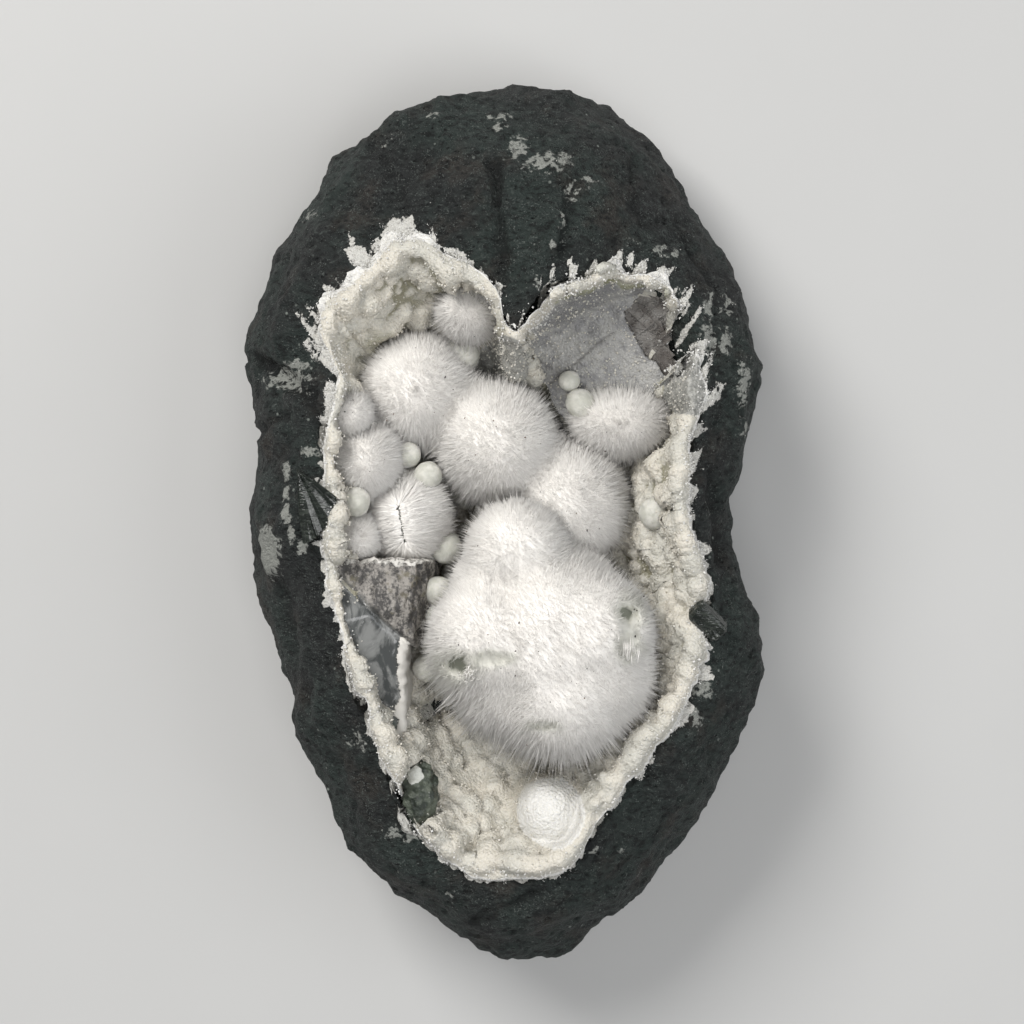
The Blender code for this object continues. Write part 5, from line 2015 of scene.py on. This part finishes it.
@dataclass
class SmallCrystals:
    """The dark prism, the dark fan and the green nodule."""

    prism_way: Triple = (0.74, -0.66, 0.0)
    fan_blades: int = 30
    # The bearing of the fan's first blade, how far round the others go, and how long the first and last are
    fan_bearing_deg: Pair = (-82.0, 46.0)
    fan_reach_mm: Pair = (12.0, 7.6)
    fan_sunk_mm: float = 0.45
    # The nodule's white knob: its centre, and the radii at which it ends and is full
    knob_mm: Triple = (-13.8, -41.6, 41.6)
    knob_radius_mm: Pair = (2.5, 1.3)

    def build(self) -> list[Object]:
        """Makes the three crystals."""
        return [self.prism(), self.fan(), self.nodule()]

    def prism(self) -> Object:
        """The dark prism, with growth steps along it."""
        bm = node_copy("dark_prism")
        bmesh.ops.dissolve_limit(bm, angle_limit=0.02, verts=bm.verts, edges=bm.edges)
        bmesh.ops.triangulate(bm, faces=bm.faces)
        bmesh.ops.subdivide_edges(bm, edges=bm.edges, cuts=9, use_grid_fill=True)
        mesh = to_mesh(bm)
        points, normals = surface(mesh)
        along = unit(np.array(self.prism_way))
        across = points @ np.cross(along, (0.0, 0.0, 1.0))
        steps = np.stack([across * 2.0, points[:, 2] * 2.0, points @ along * 0.2], axis=1)
        chips = smooth_step(layered_noise(points, 1.6, 3, 72), 0.35, 0.7)
        move_points(mesh, points + normals * (0.05 * lattice_noise(steps, 1.0, 73) - 0.22 * chips)[:, None])
        finish = DarkFinish().made("dark_prism_crystal", -42.0)
        return add_piece("dark_prism_crystal", mesh, finish, ("dark_prism",), False)

    def fan(self) -> Object:
        """The dark fan: long thin blades that spread from one point over the CAD wedge."""
        dice = np.random.default_rng(83)
        low, high = corners_mm("dark_fan")
        apex = np.array((low[0] + 0.4, high[1] - 0.3, high[2] + 0.1))
        share = np.linspace(0.0, 1.0, self.fan_blades)
        first, spread = self.fan_bearing_deg
        bearing = np.radians(first + spread * share + dice.normal(size=self.fan_blades) * 1.2)
        reach = np.interp(share, (0.0, 1.0), self.fan_reach_mm)
        ways = np.stack([np.cos(bearing), np.sin(bearing), np.full_like(bearing, -0.05)], axis=1)
        starts = apex + ways * dice.uniform(0.0, 1.4, self.fan_blades)[:, None]
        starts[:, 2] += dice.uniform(-0.25, 0.25, self.fan_blades)
        tips = apex + ways * reach[:, None]
        widths = dice.uniform(0.35, 0.62, self.fan_blades)
        lengths = np.linalg.norm(starts - tips, axis=1)
        blades = Pattern.crystal(5, 0.55).strewn(tips, starts - tips, widths, lengths, dice)
        bm = node_copy("dark_fan")
        bmesh.ops.translate(bm, vec=(0.0, 0.0, -self.fan_sunk_mm * MM), verts=bm.verts)
        bm.from_mesh(blades)
        finish = DarkFinish().made("dark_fan_crystal", 60.0)
        return add_piece("dark_fan_crystal", to_mesh(bm), finish, ("dark_fan",), False)

    def nodule(self) -> Object:
        """The green nodule, lumpy, with a white knob at its upper end."""
        low, high = corners_mm("green_nodule")
        bm = bmesh.new()
        place = Matrix.Translation((low + high) / 2.0) @ Matrix.Diagonal((*((high - low) / 2.0), 1.0))
        bmesh.ops.create_icosphere(bm, subdivisions=5, radius=1.0, matrix=place)
        mesh = to_mesh(bm, MM)
        points, normals = surface(mesh)
        lumps = 0.9 * np.abs(layered_noise(points, 2.0, 3, 84)) - 0.4
        away = np.linalg.norm(points - self.knob_mm, axis=1) + 0.9 * layered_noise(points, 1.5, 3, 85)
        white = smooth_step(away, *self.knob_radius_mm)
        move_points(mesh, points + normals * (lumps + 0.5 * white)[:, None])
        mark(mesh, "white", white)
        return add_piece("green_lump", mesh, NoduleFinish().made(), ("green_nodule",))


@dataclass
class Dust:
    """Dark specks that lie on the fibres."""

    count: int = 170
    radius_mm: Pair = (0.06, 0.17)
    depth_share: float = 0.97

    def build(self, puffballs: list[Puffball]) -> Object:
        """Strews the specks over the puffballs' tops.

        Args:
            puffballs: The puffballs that they lie on.

        Returns:
            The piece.
        """
        dice = np.random.default_rng(91)
        lobes = [lobe for puffball in puffballs for lobe in puffball.lobes if lobe.radii[2] <= lobe.radii[0]]
        share = np.array([lobe.radii[0] ** 2 for lobe in lobes])
        picks = dice.choice(len(lobes), self.count, p=share / share.sum())
        ways = unit(dice.normal(size=(self.count, 3)) + (0.0, 0.0, 1.2))
        ways[:, 2] = np.abs(ways[:, 2])
        centres, radii = (np.array(column)[picks] for column in zip(*((o.centre, o.radii) for o in lobes)))
        places = centres + ways * radii * self.depth_share
        widths = self.radius_mm[0] + np.ptp(self.radius_mm) * dice.random(self.count) ** 3
        turned = dice.normal(size=(self.count, 3))
        lengths = widths * dice.uniform(0.8, 2.4, self.count)
        mesh = Pattern.grain().strewn(places, turned, widths, lengths, dice)
        return add_piece("dust_specks", mesh, DustFinish().made())


@dataclass(frozen=True)
class Lamp:
    """A square soft light."""

    name: str
    place: Triple
    side: float
    power: float
    tint: Triple = (1.0, 1.0, 1.0)


@dataclass
class Studio:
    """The plain floor, the soft lights and the camera that looks straight down on the specimen."""

    lamps: tuple[Lamp, ...] = (
        Lamp("key", (-0.34, 0.40, 0.62), 0.36, 5.6, (1.0, 0.985, 0.96)),
        Lamp("fill", (0.48, -0.10, 0.50), 0.50, 1.6, (0.96, 0.98, 1.0)),
        Lamp("overhead", (0.05, -0.20, 0.95), 0.45, 2.7),
    )
    sky: float = 0.20
    floor: tuple[Colour, Colour] = ((0.50, 0.50, 0.495), (0.53, 0.53, 0.525))

    def build(self) -> None:
        """Makes the floor, the lights, the world and the camera."""
        bm = bmesh.new()
        bmesh.ops.create_grid(bm, x_segments=8, y_segments=8, size=1.5)
        floor = linked("floor", to_mesh(bm))
        shader = Shader("pale_floor")
        floor.data.materials.append(shader.finish(shader.mix(shader.noise(60.0, 3.0), *self.floor), 0.85))
        for lamp in self.lamps:
            light = bpy.data.lights.new(lamp.name, "AREA")
            light.size = lamp.side
            light.energy = lamp.power
            light.color = lamp.tint
            holder = linked(lamp.name, light)
            holder.location = lamp.place
            holder.rotation_euler = (-Vector(lamp.place)).to_track_quat("-Z", "Y").to_euler()
        world = bpy.data.worlds.new("soft_sky")
        world.use_nodes = True
        world.node_tree.nodes["Background"].inputs["Strength"].default_value = self.sky
        world.node_tree.nodes["Background"].inputs["Color"].default_value = (1.0, 1.0, 1.0, 1.0)
        bpy.context.scene.world = world
        bpy.context.scene.view_settings.view_transform = "Standard"
        self.camera()

    def camera(self) -> None:
        """Puts the camera over the specimen, looking straight down."""
        lens = bpy.data.cameras.new("camera")
        lens.lens = LENS_MM
        lens.sensor_width = SENSOR_MM
        lens.clip_start, lens.clip_end = 0.01, 10.0
        camera = linked("camera", lens)
        camera.location = Vector(CAMERA_PLACE_MM) * MM
        bpy.context.scene.camera = camera


def puffballs() -> list[Puffball]:
    """The furry puffballs, each with its lobes."""
    front = Puffball(
        "okenite_front",
        (
            Lobe((2.8, -4.8, 41.0), (9.1, 9.1, 9.0)),
            Lobe((-0.5, -19.6, 41.0), (12.0, 12.0, 11.8)),
            Lobe((2.0, -26.4, 39.0), (10.2, 9.8, 10.5)),
            Lobe((15.1, -18.2, 43.0), (10.8, 10.8, 10.8)),
            Lobe((9.9, -27.4, 40.0), (12.2, 12.2, 12.2)),
            Lobe((15.4, -24.8, 39.5), (10.8, 10.4, 11.0)),
            Lobe((-0.8, -11.0, 39.0), (8.0, 7.6, 8.5)),
            Lobe((8.5, -16.5, 34.0), (13.6, 13.8, 19.6)),
            Lobe((7.5, -22.5, 41.0), (12.5, 9.0, 12.2)),
        ),
        per_point=3.4,
        rounding=90,
        hair_mm=1.5,
        tuft_pull=0.08,
        long_mm=2.8,
        pits=(
            Pit((-6.8, -23.4, 51.2), (2.9, 2.2, 3.4)),
            Pit((-1.6, -22.2, 53.0), (4.0, 1.1, 0.9)),
            Pit((20.9, -15.2, 51.2), (2.2, 2.5, 3.4)),
            Pit((20.6, -19.8, 51.2), (2.0, 2.4, 1.6)),
            Pit((7.2, -33.2, 50.6), (2.2, 0.8, 1.3)),
        ),
        seed=1,
    )
    chain = Puffball(
        "okenite_chain",
        (
            Lobe((-14.1, 21.9, 30.3), (10.2, 10.2, 10.0)),
            Lobe((-7.2, 17.4, 30.0), (7.9, 7.9, 8.0)),
            Lobe((-0.6, 13.0, 31.5), (10.6, 10.6, 10.4)),
            Lobe((5.8, 7.8, 29.6), (8.3, 8.3, 8.3)),
            Lobe((11.4, 3.2, 29.4), (10.6, 10.6, 10.2)),
        ),
        per_point=6.0,
        rounding=26,
        long_mm=0.8,
        seed=2,
    )
    singles = (
        ("okenite_left", (-22.6, 10.1, 35.5), (7.1, 7.1, 7.1), 1.5),
        ("okenite_right", (20.4, 16.4, 30.5), (9.2, 6.4, 6.6), 1.7),
        ("okenite_top", (-5.2, 35.0, 34.0), (5.9, 5.9, 5.9), 1.6),
        ("okenite_rim", (-24.6, 18.0, 39.5), (4.2, 4.2, 4.2), 1.1),
        ("okenite_low", (-23.6, -2.6, 37.0), (4.4, 4.4, 4.4), 1.1),
    )
    others = [
        Puffball(node, (Lobe(centre, radii),), 4.5, 0.42, rounding=3, hair_mm=hair, seed=number)
        for number, (node, centre, radii, hair) in enumerate(singles, start=3)
    ]
    return [front, chain, *others]


def main() -> None:
    """Builds the specimen in order and reports each piece."""
    logging.basicConfig(level=logging.INFO, format="%(name)s %(message)s")
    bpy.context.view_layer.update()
    mouth = Mouth()
    rock = Rock().build(mouth)
    coat = Coat()
    lining = Lining()
    lining_piece = lining.build(mouth, rock, coat)
    coat_piece = coat.build(mouth)
    Druse().build([lining_piece, coat_piece], mouth, lining)
    RimCrystals().build(rock, lining_piece, mouth)
    okenite = OkeniteFinish().made("okenite_fibre")
    furry = puffballs()
    for puffball in furry:
        puffball.build(okenite, lining.tree)
    # Painted light: a brighter copy of the okenite finish lifts the cleft puffball out of its shade; the
    # broken tufts share it.
    silky = OkeniteFinish().made("okenite_brightened", 1.1)
    CleftPuffball().build(silky)
    BrokenTufts().build(silky)
    Pearls().build(lining.tree)
    WindowCalcite().build(coat, mouth)
    CrystalBlock().build()
    SmallCrystals().build()
    Dust().build(furry)
    Studio().build()


if __name__ == "__main__":
    main()
